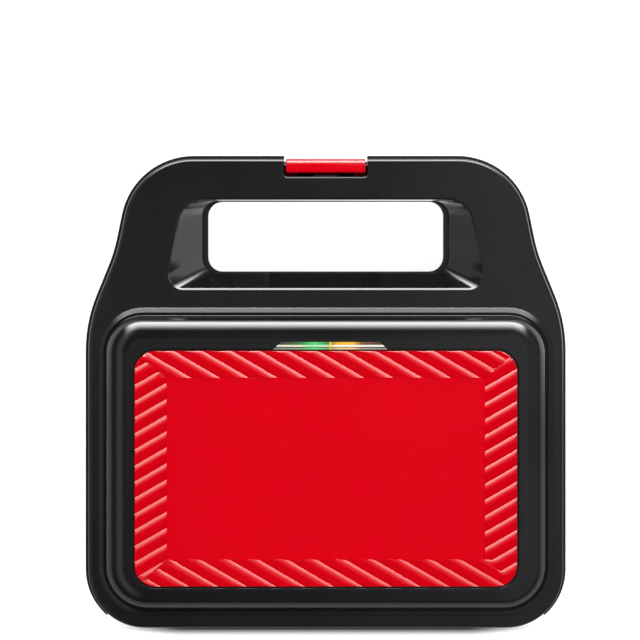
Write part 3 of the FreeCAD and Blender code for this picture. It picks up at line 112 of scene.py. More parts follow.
# Screws: head and shank, cross recess, shares of these, grid, and the places that the nodes' boxes don't give
SCREW_HEAD_RADIUS = 2.8 * MM
SCREW_HEAD_HEIGHT = 2 * MM
SCREW_SHANK_RADIUS = 1.45 * MM
RECESS_HALF = 0.32 * MM
RECESS_REACH = 1.7 * MM
RECESS_DEPTH = 1.1 * MM
RECESS_WALL_SHARE = 0.3
RECESS_END_SHARE = 0.2
SCREW_DOME_SHARE = 0.45
SCREW_RIM_SHARE = 0.8
SCREW_TIP_SHARE = 0.2
SCREW_SIDES = 64
SCREW_RINGS = 22
SIDE_SCREW_Y = -12.55 * MM
HANDLE_SCREW_X = 52 * MM

# Red panel: band widths, the ribs' turn and profile, and heights above the feet's plane
BAND_SIDE = 16.7 * MM
BAND_END = 14 * MM
RIB_TURN = math.radians(60)
RIB_REAR_SHARE = 0.55
RIB_CLIMB_POWER = 1.3
RIB_FALL_POWER = 1.5
RIB_RISE = 1.82 * MM
RIB_STEP = 0.3 * MM
RIB_LIP = 0.1 * MM
RIB_LIP_SHARE = 0.12
PANEL_LOW = 85 * MM
FIELD_HIGH = 87 * MM
PANEL_RADIUS = 11 * MM
PANEL_ROUND = 1.2 * MM
FIELD_COLUMNS = 12
FIELD_ROWS = 8

# Red panel's pins: size, place, and their tip's height as a share of the radius, with the turns that it takes
PIN_RADIUS = 1.5 * MM
PIN_INSET = 26 * MM
PIN_TIP_SHARE = 0.4
PIN_TIP_TURNS = (0.15, math.pi / 2)
PIN_TIP_STEPS = 5
PIN_SIDES = 24
PIN_OVERLAP = 0.1 * MM

# Bands of ribs: whether at an end, side along its axis, pitch, and share of a pitch by which they are set on
RIB_BANDS = (
    (True, -1, 7.5 * MM, -0.184),
    (True, 1, 7.5 * MM, 0.258),
    (False, 1, 7.23 * MM, 0.083),
    (False, -1, 7.23 * MM, 0.392),
)

# Where a band's grid has points: along each rib's section, as shares of its pitch, and inwards from the edge,
# as parts of the last number, closer together at the rounding
RIB_SAMPLE_SHARES = (
    0, 0.06, 0.14, 0.24, 0.36, 0.46, 0.52, 0.57, 0.62, 0.7, 0.8, 0.9, 0.945, 0.96, 0.975, 0.99, 0.999)
BAND_ROWS = (0, 0.04, 0.15, 0.35, 0.7, 1.2, 2, 3, 4, 5.5, 7, 9, 11, 14)

# Clip springs: wire, turns, and points round the wire and along a turn
SPRING_WIRE_RADIUS = 0.3 * MM
SPRING_TURNS = 4.5
SPRING_WIRE_SIDES = 10
SPRING_TURN_STEPS = 28

# Finishes: values between which most of a noise lies
NOISE_SPAN = (0.3, 0.7)

# Calmed gloss: what of it stays, and the values between which a surface counts as seen at a glancing angle,
# as a quite flat top, as a slope towards the hinge and as a top
GLOSS_KEPT = 0.005
GLANCE = (0.3, 0.6)
FLAT_TOP = (0.985, 0.998)
REARWARD = (0.02, 0.12)
TOP = (0.8, 0.95)

# Lamps: places, aims and sizes in metres, and powers of the two cards in the handle's window in watts
LAMP_AIM = (0, 0, 0.05)
KEY_PLACE = (0, -1.25, 0.55)
KEY_SIZE = (1.5, 0.6)
FILL_PLACE = (-0.3, 0.1, 1.6)
FILL_SIZE = (1.0, 1.0)
CARD_X = 0.03
CARD_YZ = (-0.076, 0.063)
CARD_SIZE = (0.034, 0.05)
CARDS = (("window_card_left", 1, 0.0075), ("window_card_right", -1, 0.0027))

# Floor: its reach, its shades in the painted shadow and outside it, the painted shadow's soft limits behind
# the body's back, in front of it and aside, and its glow in glossy surfaces with the limits between which it
# changes
FLOOR_REACH = 6.0
FLOOR_PAINTED_SHADOW_AND_PALE = (0.02, 0.62)
PAINTED_SHADOW_REAR = (5 * MM, 10.5 * MM)
PAINTED_SHADOW_FRONT = (-15 * MM, -50 * MM)
PAINTED_SHADOW_SIDE = (0.075, 0.125)
MIRRORED_SHADES = (1.3, 0.6, -0.05, 0.05)
MIRRORED_FRONT = (0.02, -0.04)

# Surroundings: glow for matt surfaces, least glow in glossy ones, and the lobes that glossy surfaces show.
# A lobe is the product of soft passages of the direction's axes; "aside" is the distance from the middle.
MATT_GLOW = 0.85
LEAST_GLOW = 0.04
SOFT_BOX = (("Z", 0.78, 0.18), ("Z", -0.02, 0.04), ("aside", 0.66, 0.36), ("Y", -0.15, -0.42))
LOBES = (
    (0.9, (("Z", 0.3, 0.75), ("Z", 0.98, 0.78), ("X", 0.1, 0.45))),
    (0.35, (("Z", 0.1, 0.3), ("X", -0.01, -0.05))),
    (0.5, (("Z", 0.9, 0.99), ("Y", -0.02, -0.006), ("Y", 0.024, 0.002))),
    (0.3, (("Z", 0.9, 0.99), ("X", -0.01, -0.04), ("Y", -0.005, -0.025))),
    (0.07, (("Z", 0.9, 0.99), ("Y", -0.005, 0.02))),
    (0.2, (("Z", 0.35, 0.0), ("Y", 0.5, 0.1))),
)


# Settings that a user would change

class SandwichFinish(bpy.types.PropertyGroup):
    """Colours and gloss of the visible pieces."""

    plastic: bpy.props.FloatVectorProperty(
        name="Housing", description="Colour of the glossy housing", subtype="COLOR", size=3, min=0, max=1,
        default=(0.0088, 0.0088, 0.0092))
    liner: bpy.props.FloatVectorProperty(
        name="Liner", description="Colour of the satin liner", subtype="COLOR", size=3, min=0, max=1,
        default=(0.012, 0.012, 0.0125))
    red: bpy.props.FloatVectorProperty(
        name="Red", description="Colour of the panel and the latch", subtype="COLOR", size=3, min=0, max=1,
        default=(0.67, 0.0, 0.0065))
    coating: bpy.props.FloatVectorProperty(
        name="Coating", description="Colour of the plates' coating", subtype="COLOR", size=3, min=0, max=1,
        default=(0.022, 0.022, 0.023))
    ready: bpy.props.FloatVectorProperty(
        name="Ready lamp", description="Colour of the ready lamp", subtype="COLOR", size=3, min=0, max=1,
        default=(0.95, 0.52, 0.02))
    power: bpy.props.FloatVectorProperty(
        name="Power lamp", description="Colour of the power lamp", subtype="COLOR", size=3, min=0, max=1,
        default=(0.08, 0.62, 0.14))
    gloss: bpy.props.FloatProperty(
        name="Gloss", description="Roughness of the housing", default=0.13, min=0.02, max=0.6)


class SandwichStage(bpy.types.PropertyGroup):
    """Camera and lamps."""

    camera_height: bpy.props.FloatProperty(
        name="Camera height", description="Height of the camera above the lid", unit="LENGTH", default=2.2,
        min=0.5, max=10)
    key_power: bpy.props.FloatProperty(
        name="Key", description="Power of the soft box at the handle's side, in watts", default=8, min=0)
    fill_power: bpy.props.FloatProperty(
        name="Fill", description="Power of the lamp overhead, in watts", default=9, min=0)
    box_glow: bpy.props.FloatProperty(
        name="Soft box in mirrors", description="Brightness of the soft box in glossy surfaces", default=24,
        min=0)
    floor_glow: bpy.props.FloatProperty(
        name="Floor", description="Glow that keeps the floor white", default=0.8, min=0)


# Surfaces, each computed as whole arrays

def grid_faces(rows, columns, wrapped, start=0):
    """Quads of a grid of points; where it is wrapped, the last column joins the first."""
    steps = columns if wrapped else columns - 1
    row, column = np.meshgrid(np.arange(rows - 1), np.arange(steps), indexing="ij")
    after = (column + 1) % columns
    here, beyond = row * columns, (row + 1) * columns
    corners = (here + column, here + after, beyond + after, beyond + column)
    return (np.stack(corners, -1).reshape(-1, 4) + start).tolist()


def tube_faces(rings, sides):
    """Quads of a tube of rings, and a cap at each of its ends."""
    last = (rings - 1) * sides
    caps = [list(range(sides))[::-1], list(range(last, last + sides))]
    return grid_faces(rings, sides, True) + caps


def shape_piece(name, patches, body, slot, nodes):
    """One piece from patches of points and faces, on a body, in the place of nodes of the frame."""
    points, faces = [], []
    for patch_points, patch_faces in patches:
        start = sum(len(part) for part in points)
        points.append(patch_points.reshape(-1, 3))
        faces.extend([start + corner for corner in face] for face in patch_faces)
    mesh = bpy.data.meshes.new(name)
    mesh.from_pydata(np.concatenate(points).tolist(), [], faces)
    mesh.polygons.foreach_set("use_smooth", np.ones(len(faces), dtype=bool))
    mesh.set_sharp_from_angle(angle=CREASE)
    mesh.materials.append(finish_of(slot))
    piece = bpy.data.objects.new(name, mesh)
    bpy.context.scene.collection.objects.link(piece)
    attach(piece, body)
    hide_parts(*nodes)
    return piece


def rounded_loop(corners, steps=9):
    """A closed loop through corners of x, y and radius, each corner an arc tangent to its two sides.

    The arc's centre lies on the corner's bisector at the radius over the cosine of half the turn.
    """
    spots = np.array([corner[:2] for corner in corners])
    radii = np.array([corner[2] for corner in corners])[:, None]
    into = spots - np.roll(spots, 1, 0)
    into /= np.linalg.norm(into, axis=1, keepdims=True)
    out = np.roll(into, -1, 0)
    turn = np.arctan2(into[:, 0] * out[:, 1] - into[:, 1] * out[:, 0], (into * out).sum(1))[:, None]
    side = np.sign(turn)
    across = np.stack((-into[:, 1], into[:, 0]), -1) * side
    middle = spots - into * radii * np.tan(abs(turn) / 2) + across * radii
    angle = turn * np.linspace(0, 1, steps)
    cos, sin = np.cos(angle)[..., None], np.sin(angle)[..., None]
    spoke = -across[:, None, :]
    turned = spoke * cos + np.stack((-spoke[..., 1], spoke[..., 0]), -1) * sin
    return (middle[:, None, :] + turned * radii[:, None, :]).reshape(-1, 2)


def outward(loop):
    """Outward normals of an anticlockwise loop, each square to the chord between its two neighbours."""
    chord = np.roll(loop, -1, 0) - np.roll(loop, 1, 0)
    chord /= np.linalg.norm(chord, axis=1, keepdims=True) + 1e-12
    return np.stack((chord[:, 1], -chord[:, 0]), -1)


def rib_height(share):
    """Height of the ribs above their valley at a share of a pitch, counted towards the handle.

    Each rib climbs behind its crest by one minus a power of the share that is left, falls away in front
    of it by a higher power, turns down in a small lip by a square, and ends in a step.
    """
    share = np.mod(share, 1)
    climb = 1 - np.clip(1 - share / RIB_REAR_SHARE, 0, 1) ** RIB_CLIMB_POWER
    left = np.clip((1 - share) / (1 - RIB_REAR_SHARE), 0, 1)
    fall = 1 - (1 - left) ** RIB_FALL_POWER
    lip = RIB_LIP * np.clip(1 - left / RIB_LIP_SHARE, 0, 1) ** 2
    return np.where(share < RIB_REAR_SHARE, RIB_RISE * climb, RIB_STEP + (RIB_RISE - RIB_STEP) * fall - lip)


def rib_band(box, end, sign, pitch, phase):
    """One mitred band of ribs as a closed shell.

    The grid's columns follow the ribs: at each distance from the outer edge, a column lies where the
    distance across the ribs has its value, held between the two mitres. Points outside the panel's
    rounded corner are drawn in to its arc, and near the edge the height stays under a quarter round.
    """
    low, high = box
    ahead = np.array((math.cos(RIB_TURN) * (-1 if end else 1), -math.sin(RIB_TURN)))
    middle = (low.y + high.y) / 2
    half = np.array([high.x, (high.y - low.y) / 2])
    inward = np.array(BAND_ROWS) / BAND_ROWS[-1]
    across_axis = 1 if end else 0
    width = BAND_END if end else BAND_SIDE
    depth = (inward * width)[:, None]
    across = sign * (half[across_axis] - depth)
    limit = half[1 - across_axis] - depth / width * (BAND_SIDE if end else BAND_END)
    along_step, across_step = ahead[1 - across_axis], ahead[across_axis]
    most = abs(along_step) * half[1 - across_axis] + abs(across_step) * half[across_axis]
    count = math.ceil(most / pitch) + 1
    run = (np.arange(-count, count)[:, None] + np.array(RIB_SAMPLE_SHARES) + phase).ravel() * pitch
    along = np.clip((run - across_step * across) / along_step, -limit, limit)
    flat = np.stack((along, np.broadcast_to(across, along.shape)), -1)
    if not end:
        flat = flat[..., ::-1]
    over = np.maximum(abs(flat) - (half - PANEL_RADIUS), 0)
    excess = np.maximum(np.linalg.norm(over, axis=-1, keepdims=True) / PANEL_RADIUS, 1)
    flat = np.sign(flat) * (np.minimum(abs(flat), half - PANEL_RADIUS) + over / excess)
    over = np.maximum(abs(flat) - (half - PANEL_RADIUS), 0)
    inside = PANEL_RADIUS - np.linalg.norm(over, axis=-1)
    ribs = high.z - RIB_RISE + rib_height((flat * ahead).sum(-1) / pitch - phase)
    rounding = np.sqrt(np.clip(PANEL_ROUND ** 2 - np.clip(PANEL_ROUND - inside, 0, None) ** 2, 0, None))
    top = np.minimum(ribs, high.z - PANEL_ROUND + rounding)
    flat = flat + (0, middle)
    points = np.concatenate((flat, top[..., None]), -1)
    return closed_shell(points, PANEL_LOW)


def closed_shell(top, low):
    """A closed block under a grid of points: its top, a flat bottom, and the walls between them."""
    bottom = top.copy()
    bottom[..., 2] = low
    ring = np.concatenate((bottom[:1], top, bottom[-1:]))
    left, right = ring[:, :1].copy(), ring[:, -1:].copy()
    left[..., 2] = right[..., 2] = low
    upper = np.concatenate((left, ring, right), 1)
    lower = upper.copy()
    lower[..., 2] = low
    rows, columns = upper.shape[:2]
    faces = grid_faces(rows, columns, False) + grid_faces(rows, columns, False, rows * columns)
    return np.stack((upper, lower)).reshape(-1, 3), faces


def weld(piece):
    """Joins points in one place, drops faces without area, and turns every face outwards."""
    shape = bmesh.new()
    shape.from_mesh(piece.data)
    bmesh.ops.remove_doubles(shape, verts=shape.verts, dist=WELD_GAP)
    bmesh.ops.dissolve_degenerate(shape, edges=shape.edges, dist=WELD_GAP)
    bmesh.ops.recalc_face_normals(shape, faces=shape.faces)
    shape.to_mesh(piece.data)
    shape.free()
    piece.data.set_sharp_from_angle(angle=CREASE)


def pin_patch(x, y, low, high):
    """A round pin with a rounded tip: circles whose radius grows with a sine, then the plain shank."""
    angle = np.linspace(0, 2 * math.pi, PIN_SIDES, endpoint=False)
    turn = np.linspace(*PIN_TIP_TURNS, PIN_TIP_STEPS)
    reach = np.append(PIN_RADIUS * np.sin(turn), PIN_RADIUS)[:, None]
    level = np.append(low + PIN_RADIUS * PIN_TIP_SHARE * (1 - np.cos(turn)), high)[:, None]
    circles = np.broadcast_arrays(x + reach * np.cos(angle), y + reach * np.sin(angle), level)
    return np.stack(circles, -1), tube_faces(len(reach), len(angle))


def panel_patches(box):
    """The red panel's parts: its bands of ribs, its flat field, and a pin near each corner."""
    low, high = box
    patches = [rib_band(box, *band) for band in RIB_BANDS]
    across = np.linspace(low.x + BAND_SIDE, high.x - BAND_SIDE, FIELD_COLUMNS)
    along = np.linspace(low.y + BAND_END, high.y - BAND_END, FIELD_ROWS)
    field = np.stack(np.broadcast_arrays(across, along[:, None], FIELD_HIGH), -1)
    patches.append(closed_shell(field, PANEL_LOW))
    for x in (low.x + PIN_INSET, high.x - PIN_INSET):
        for y in (low.y + PIN_INSET, high.y - PIN_INSET):
            patches.append(pin_patch(x, y, low.z, PANEL_LOW + PIN_OVERLAP))
    return patches


def latch_patch(low, high):
    """The latch's side profile carried across it, with rounded edges at both ends.

    The profile runs round the hook, the plate and the head with its brow. Towards each end it is drawn in
    by the end's radius less its sine, while its place moves out by the cosine.
    """
    loop = rounded_loop([
        (low.y, low.z, LATCH_EDGE * 2),
        (high.y - LATCH_HOOK_BEVEL, low.z, LATCH_EDGE),
        (high.y, low.z + LATCH_HOOK_BEVEL, LATCH_EDGE),
        (high.y, low.z + LATCH_HOOK_HEIGHT, LATCH_EDGE),
        (low.y + LATCH_PLATE, low.z + LATCH_HOOK_HEIGHT, LATCH_EDGE),
        (low.y + LATCH_PLATE, high.z - LATCH_HEAD_HEIGHT, LATCH_EDGE),
        (low.y + LATCH_HEAD_DEPTH, high.z - LATCH_HEAD_HEIGHT, LATCH_EDGE),
        (low.y + LATCH_HEAD_DEPTH, high.z, LATCH_EDGE * 2),
        (low.y, high.z, LATCH_BROW),
    ])
    turn = np.linspace(0, math.pi / 2, LATCH_END_STEPS)
    inset = LATCH_END * (1 - np.sin(turn))
    reach = high.x - LATCH_END * (1 - np.cos(turn))
    inset = np.concatenate((inset, inset[::-1]))
    place = np.concatenate((-reach, reach[::-1]))
    section = loop[None] - outward(loop)[None] * inset[:, None, None]
    across = np.broadcast_to(place[:, None, None], (*section.shape[:2], 1))
    return np.concatenate((across, section), -1), tube_faces(len(section), len(loop))


def leaf_patch(low, high):
    """A leaf spring bowed off the wall at its back, by a power of the sine of the way along it."""
    share = np.linspace(0, 1, LEAF_STEPS)[:, None]
    bow = (high.y - low.y - LEAF_SHEET) * np.sin(math.pi * share) ** LEAF_BOW_POWER
    across = np.array([low.x, high.x, high.x, low.x])
    back = high.y - bow - LEAF_SHEET * np.array([1, 1, 0, 0])
    level = low.z + (high.z - low.z) * share
    points = np.stack(np.broadcast_arrays(across, back, level), -1)
    return points, tube_faces(len(points), len(across))


def screw_patches(x, y, low, tip):
    """A screw that points up: a domed head with a cross recess, and its shank.

    The head is a polar grid whose depth grows with the square of the radius, less the recess, where the
    smaller of the two distances to the cross's arms is under half their width.
    """
    angle = np.linspace(0, 2 * math.pi, SCREW_SIDES, endpoint=False)
    share = np.linspace(0, 1, SCREW_RINGS)[:, None]
    radius = share * SCREW_HEAD_RADIUS
    near = np.minimum(abs(radius * np.cos(angle)), abs(radius * np.sin(angle)))
    inside = np.clip((RECESS_HALF - near) / (RECESS_WALL_SHARE * RECESS_HALF) + 0.5, 0, 1)
    inside = inside * np.clip((RECESS_REACH - radius) / (RECESS_END_SHARE * RECESS_REACH), 0, 1)
    height = low + SCREW_HEAD_HEIGHT * (SCREW_DOME_SHARE * share ** 2) + RECESS_DEPTH * inside
    flat = np.ones_like(angle)
    rings = [
        (SCREW_HEAD_RADIUS, low + SCREW_RIM_SHARE * SCREW_HEAD_HEIGHT),
        (SCREW_HEAD_RADIUS, low + SCREW_HEAD_HEIGHT),
        (SCREW_SHANK_RADIUS, low + SCREW_HEAD_HEIGHT),
        (SCREW_SHANK_RADIUS, tip - SCREW_SHANK_RADIUS),
        (SCREW_TIP_SHARE * SCREW_SHANK_RADIUS, tip),
    ]
    reach = np.concatenate((radius * flat, [ring * flat for ring, _ in rings]))
    level = np.concatenate((height, [place * flat for _, place in rings]))
    points = np.stack((x + reach * np.cos(angle), y + reach * np.sin(angle), level), -1)
    last = (len(points) - 1) * SCREW_SIDES
    faces = grid_faces(len(points), SCREW_SIDES, True) + [list(range(last, last + SCREW_SIDES))]
    return points, faces


def spring_patch(low, high, radius):
    """A coil spring between two places along Y: a round wire carried along a helix of even pitch."""
    centre = (low + high) / 2
    along = np.linspace(0, 1, int(SPRING_TURNS * SPRING_TURN_STEPS))[:, None]
    turn = 2 * math.pi * SPRING_TURNS * along
    around = np.linspace(0, 2 * math.pi, SPRING_WIRE_SIDES, endpoint=False)
    reach = radius - SPRING_WIRE_RADIUS * (1 - np.cos(around))
    y = low.y + SPRING_WIRE_RADIUS + (high.y - low.y - 2 * SPRING_WIRE_RADIUS) * along
    wire_y = y + SPRING_WIRE_RADIUS * np.sin(around)
    points = np.stack((centre.x + reach * np.cos(turn), wire_y, centre.z + reach * np.sin(turn)), -1)
    return points, tube_faces(len(points), len(around))


# Materials

class Wiring:
    """Values joined by small nodes in one node tree."""

    def __init__(self, tree):
        self.nodes, self.links = tree.nodes, tree.links

    def add(self, kind, sources=(), output=0, **settings):
        """A new node with its settings, fed by the sources, and one of its outputs."""
        node = self.nodes.new(kind)
        for key, value in settings.items():
            setattr(node, key, value)
        for key, source in dict(sources).items():
            if isinstance(source, (int, float)):
                node.inputs[key].default_value = source
            else:
                self.links.new(source, node.inputs[key])
        return node.outputs[output]

    def maths(self, operation, first, second=0.0):
        """Two values joined by an operation."""
        return self.add("ShaderNodeMath", {0: first, 1: second}, operation=operation)

    def product(self, *values):
        """All values multiplied."""
        result = values[0]
        for value in values[1:]:
            result = self.maths("MULTIPLY", result, value)
        return result

    def soft(self, source, low, high):
        """Zero below low, one above high, and a soft passage between them; also the other way round."""
        sources = {"Value": source, "From Min": low, "From Max": high}
        return self.add("ShaderNodeMapRange", sources, interpolation_type="SMOOTHSTEP")

    def span(self, source, low, high, from_low=0.0, from_high=1.0):
        """A value carried from one range to another."""
        limits = {"From Min": from_low, "From Max": from_high, "To Min": low, "To Max": high}
        return self.add("ShaderNodeMapRange", {"Value": source, **limits})

    def between(self, share, first, second):
        """A value between two others, by a share of the second."""
        return self.add("ShaderNodeMix", {0: share, 2: first, 3: second})

    def tinted(self, share, first, second):
        """A colour between two others, by a share of the second."""
        return self.add("ShaderNodeMix", {0: share, 6: first, 7: second}, 2, data_type="RGBA")

    def rays(self):
        """Whether the camera sees a place straight or through glass, and whether a gloss mirrors it."""
        path = self.add("ShaderNodeLightPath").node.outputs
        seen = self.maths("MAXIMUM", path["Is Camera Ray"], path["Is Transmission Ray"])
        return seen, path["Is Glossy Ray"]


class Recipe(Wiring):
    """A material that grows from its Principled shader, with patterns on Object coordinates."""

    def __init__(self, name, **sockets):
        self.material = bpy.data.materials.new(name)
        self.material.use_nodes = True
        super().__init__(self.material.node_tree)
        self.shader = self.nodes["Principled BSDF"]
        for socket, value in sockets.items():
            self.shader.inputs[socket.replace("_", " ")].default_value = value
        self.place = self.add("ShaderNodeTexCoord", output=3)

    def feed(self, socket, source):
        """Joins a node's output to an input of the shader."""
        self.links.new(source, self.shader.inputs[socket])

    def stretched(self, scale, turn=(0, 0, 0)):
        """Object coordinates turned and scaled."""
        mapped = self.add("ShaderNodeMapping", {"Vector": self.place})
        mapped.node.inputs["Scale"].default_value = scale
        mapped.node.inputs["Rotation"].default_value = turn
        return mapped

    def axes(self):
        """The three Object coordinates."""
        return self.add("ShaderNodeSeparateXYZ", {"Vector": self.place}).node.outputs

    def noise(self, scale, detail=2.0, place=None):
        """Cloudy noise with so many waves a metre."""
        sources = {"Vector": place or self.place, "Scale": scale, "Detail": detail}
        return self.add("ShaderNodeTexNoise", sources)

    def cells(self, scale, feature="F1"):
        """Distance to the nearest of scattered points."""
        return self.add("ShaderNodeTexVoronoi", {"Vector": self.place, "Scale": scale}, feature=feature)

    def waves(self, scale, turn=(0, 0, 0), distortion=0.0):
        """Bands across the X axis of the turned coordinates."""
        sources = {"Vector": self.stretched((1, 1, 1), turn), "Scale": scale, "Distortion": distortion}
        return self.add("ShaderNodeTexWave", sources, 1, wave_profile="SIN")

    def ramp(self, source, *stops):
        """Colours along a value, each stop a place and a colour."""
        node = self.add("ShaderNodeValToRGB", {"Fac": source}).node
        elements = node.color_ramp.elements
        while len(elements) < len(stops):
            elements.new(1.0)
        for element, (place, colour) in zip(elements, stops):
            element.position = place
            element.color = (*colour, 1)
        return node.outputs["Color"]

    def mottled(self, source, colour, dark, light):
        """A colour that a value carries between two shades of itself."""
        low, high = NOISE_SPAN
        self.feed("Base Color", self.ramp(source, (low, shade(colour, dark)), (high, shade(colour, light))))

    def rough(self, noise, low, high):
        """Roughness that a noise carries between two values."""
        self.feed("Roughness", self.span(noise, low, high, *NOISE_SPAN))

    def relief(self, source, depth, strength, radius=0.0):
        """Relief of a depth in metres, on edges that are softened within a radius if one is given."""
        sources = {"Height": source, "Distance": depth, "Strength": strength}
        if radius:
            sources["Normal"] = self.rounded(radius)
        self.feed("Normal", self.add("ShaderNodeBump", sources))

    def calmed(self, level, dull=0.0):
        """Gloss of a level that sinks on tops seen at a glancing angle, where a soft box would whiten them.

        Quite flat tops and slopes towards the hinge may be dull from every side, by a share.
        """
        normal = self.add("ShaderNodeTexCoord", output=1)
        facing = self.add("ShaderNodeSeparateXYZ", {"Vector": normal}).node.outputs
        glancing = self.soft(self.add("ShaderNodeLayerWeight", {"Blend": 0.5}, 1), *GLANCE)
        turned = self.maths("MAXIMUM", self.soft(facing["Z"], *FLAT_TOP), self.soft(facing["Y"], *REARWARD))
        always = self.product(turned, dull)
        at_times = self.product(self.soft(facing["Z"], *TOP), glancing)
        self.shader.inputs["Specular IOR Level"].default_value = level
        calm = self.maths("MAXIMUM", always, at_times)
        self.feed("Specular IOR Level", self.span(calm, level, GLOSS_KEPT * level))

    def rounded(self, radius):
        """Normals that turn over sharp edges within a radius."""
        return self.add("ShaderNodeBevel", {"Radius": radius}, samples=6)


def shade(colour, factor):
    """A colour made lighter or darker."""
    return tuple(min(1.0, part * factor) for part in colour)


def gloss_black(finish):
    """Glossy moulded plastic: faint flow marks, a breath of haze and softened edges."""
    recipe = Recipe("gloss_black_moulding", IOR=1.5)
    flow = recipe.noise(14, 3)
    haze = recipe.noise(60, 5)
    recipe.mottled(flow, finish.plastic, 0.85, 1.2)
    recipe.rough(haze, finish.gloss * 0.8, finish.gloss * 1.2)
    recipe.calmed(level=0.5)
    recipe.relief(recipe.noise(900, 1), 0.004 * MM, 0.4, 0.6 * MM)
    return recipe.material


def liner_black(finish):
    """Heat-proof moulding with a fine spark-eroded grain."""
    recipe = Recipe("satin_black_liner", IOR=1.49)
    grain = recipe.noise(2600, 3)
    recipe.mottled(recipe.noise(40, 4), finish.liner, 0.8, 1.3)
    recipe.calmed(level=0.5)
    recipe.rough(grain, 0.17, 0.27)
    recipe.relief(grain, 0.01 * MM, 0.5, 0.7 * MM)
    return recipe.material


def red_gloss(finish):
    """Semi-gloss red moulding with a slight orange-peel."""
    recipe = Recipe("red_moulding", IOR=1.5)
    recipe.mottled(recipe.noise(9, 2), finish.red, 0.95, 1.0)
    recipe.calmed(level=0.5, dull=0.93)
    recipe.rough(recipe.noise(70, 4), 0.1, 0.14)
    recipe.relief(recipe.noise(1100, 2), 0.006 * MM, 0.4, 0.12 * MM)
    return recipe.material


def plate_coating(finish):
    """Non-stick coating on cast aluminium: fine orange-peel with sparse bright flecks."""
    recipe = Recipe("non_stick_coating", IOR=1.45, Coat_Weight=0.35, Coat_Roughness=0.22)
    fleck = recipe.cells(1500)
    dark, light = shade(finish.coating, 0.8), shade(finish.coating, 7)
    recipe.feed("Base Color", recipe.ramp(fleck, (0.0, light), (0.1, finish.coating), (1.0, dark)))
    recipe.feed("Metallic", recipe.span(fleck, 0.7, 0.1, 0.0, 0.2))
    recipe.rough(recipe.noise(120, 4), 0.32, 0.44)
    recipe.relief(recipe.noise(800, 3), 0.03 * MM, 0.6, 0.7 * MM)
    return recipe.material


def heater_steel():
    """Heater tube, straw and blue from its heat in uneven bands."""
    recipe = Recipe("heater_tube_steel", Metallic=1.0)
    tint = recipe.noise(55, 5)
    recipe.feed("Base Color", recipe.ramp(
        tint, (0.25, (0.16, 0.17, 0.2)), (0.45, (0.3, 0.29, 0.28)), (0.6, (0.36, 0.31, 0.24)),
        (0.8, (0.22, 0.22, 0.24))))
    recipe.rough(recipe.noise(400, 3), 0.36, 0.5)
    recipe.relief(recipe.noise(2500, 2), 0.02 * MM, 0.5)
    return recipe.material


def tray_steel():
    """Aluminised sheet with a crystal bloom and rolling lines."""
    recipe = Recipe("aluminised_sheet", Metallic=1.0)
    bloom = recipe.cells(260, "SMOOTH_F1")
    lines = recipe.noise(1, 4, recipe.stretched((30, 2400, 2400)))
    recipe.feed("Base Color", recipe.ramp(bloom, (0.0, (0.72, 0.73, 0.74)), (0.6, (0.56, 0.57, 0.58))))
    recipe.rough(lines, 0.26, 0.42)
    recipe.relief(lines, 0.008 * MM, 0.4, 0.2 * MM)
    return recipe.material


def drawn_steel(name, colour, along=(40, 3000, 3000), rough=0.28):
    """Drawn steel with fine lines along one axis."""
    recipe = Recipe(name, Metallic=1.0)
    lines = recipe.noise(1, 3, recipe.stretched(along))
    recipe.mottled(lines, colour, 0.82, 1.0)
    recipe.rough(lines, rough - 0.07, rough + 0.09)
    recipe.relief(lines, 0.006 * MM, 0.4, 0.15 * MM)
    return recipe.material


def foot_rubber():
    """Moulded rubber with a dusty bloom."""
    recipe = Recipe("foot_rubber", IOR=1.5)
    bloom = recipe.noise(180, 5)
    recipe.feed("Base Color", recipe.ramp(bloom, (0.3, (0.014, 0.014, 0.014)), (0.8, (0.03, 0.03, 0.029))))
    recipe.rough(bloom, 0.62, 0.8)
    recipe.relief(recipe.noise(3000, 3), 0.03 * MM, 0.6, 0.4 * MM)
    return recipe.material


def wire_sleeve():
    """Woven glass-fibre sleeve: two crossing sets of ribs."""
    recipe = Recipe("glass_fibre_sleeve", IOR=1.5)
    slant = math.radians(38)
    first, second = (recipe.waves(420, (0, 0, turn)) for turn in (slant, -slant))
    weave = recipe.maths("MAXIMUM", first, second)
    recipe.feed("Base Color", recipe.ramp(weave, (0.2, (0.3, 0.27, 0.21)), (0.9, (0.66, 0.62, 0.52))))
    recipe.feed("Roughness", recipe.span(weave, 0.75, 0.55))
    recipe.relief(weave, 0.08 * MM, 0.8)
    return recipe.material


def ceramic(name, colour):
    """Fired ceramic with pores and a half-matt skin."""
    recipe = Recipe(name, IOR=1.55)
    pores = recipe.cells(900)
    recipe.feed("Base Color", recipe.ramp(pores, (0.0, shade(colour, 0.7)), (0.15, colour)))
    recipe.rough(recipe.noise(90, 3), 0.3, 0.5)
    recipe.relief(pores, 0.03 * MM, 0.5, 0.25 * MM)
    return recipe.material


def board_green():
    """Green solder mask over generic tracks."""
    recipe = Recipe("circuit_board", IOR=1.5, Coat_Weight=0.4, Coat_Roughness=0.1)
    tracks = recipe.waves(260, (0, 0, math.radians(90)), 3.0)
    recipe.feed("Base Color", recipe.ramp(tracks, (0.35, (0.005, 0.07, 0.02)), (0.5, (0.02, 0.16, 0.05))))
    recipe.feed("Roughness", recipe.span(tracks, 0.35, 0.5))
    recipe.relief(tracks, 0.03 * MM, 0.6)
    return recipe.material


def lamp(name, colour):
    """A lit lamp: tinted resin with a hot middle."""
    recipe = Recipe(name, IOR=1.5, Roughness=0.25, Emission_Strength=2.5)
    cloud = recipe.noise(500, 2)
    recipe.feed("Base Color", recipe.ramp(cloud, (0.3, shade(colour, 0.7)), (0.7, colour)))
    recipe.feed("Emission Color", recipe.ramp(cloud, (0.3, colour), (0.7, shade(colour, 1.3))))
    return recipe.material


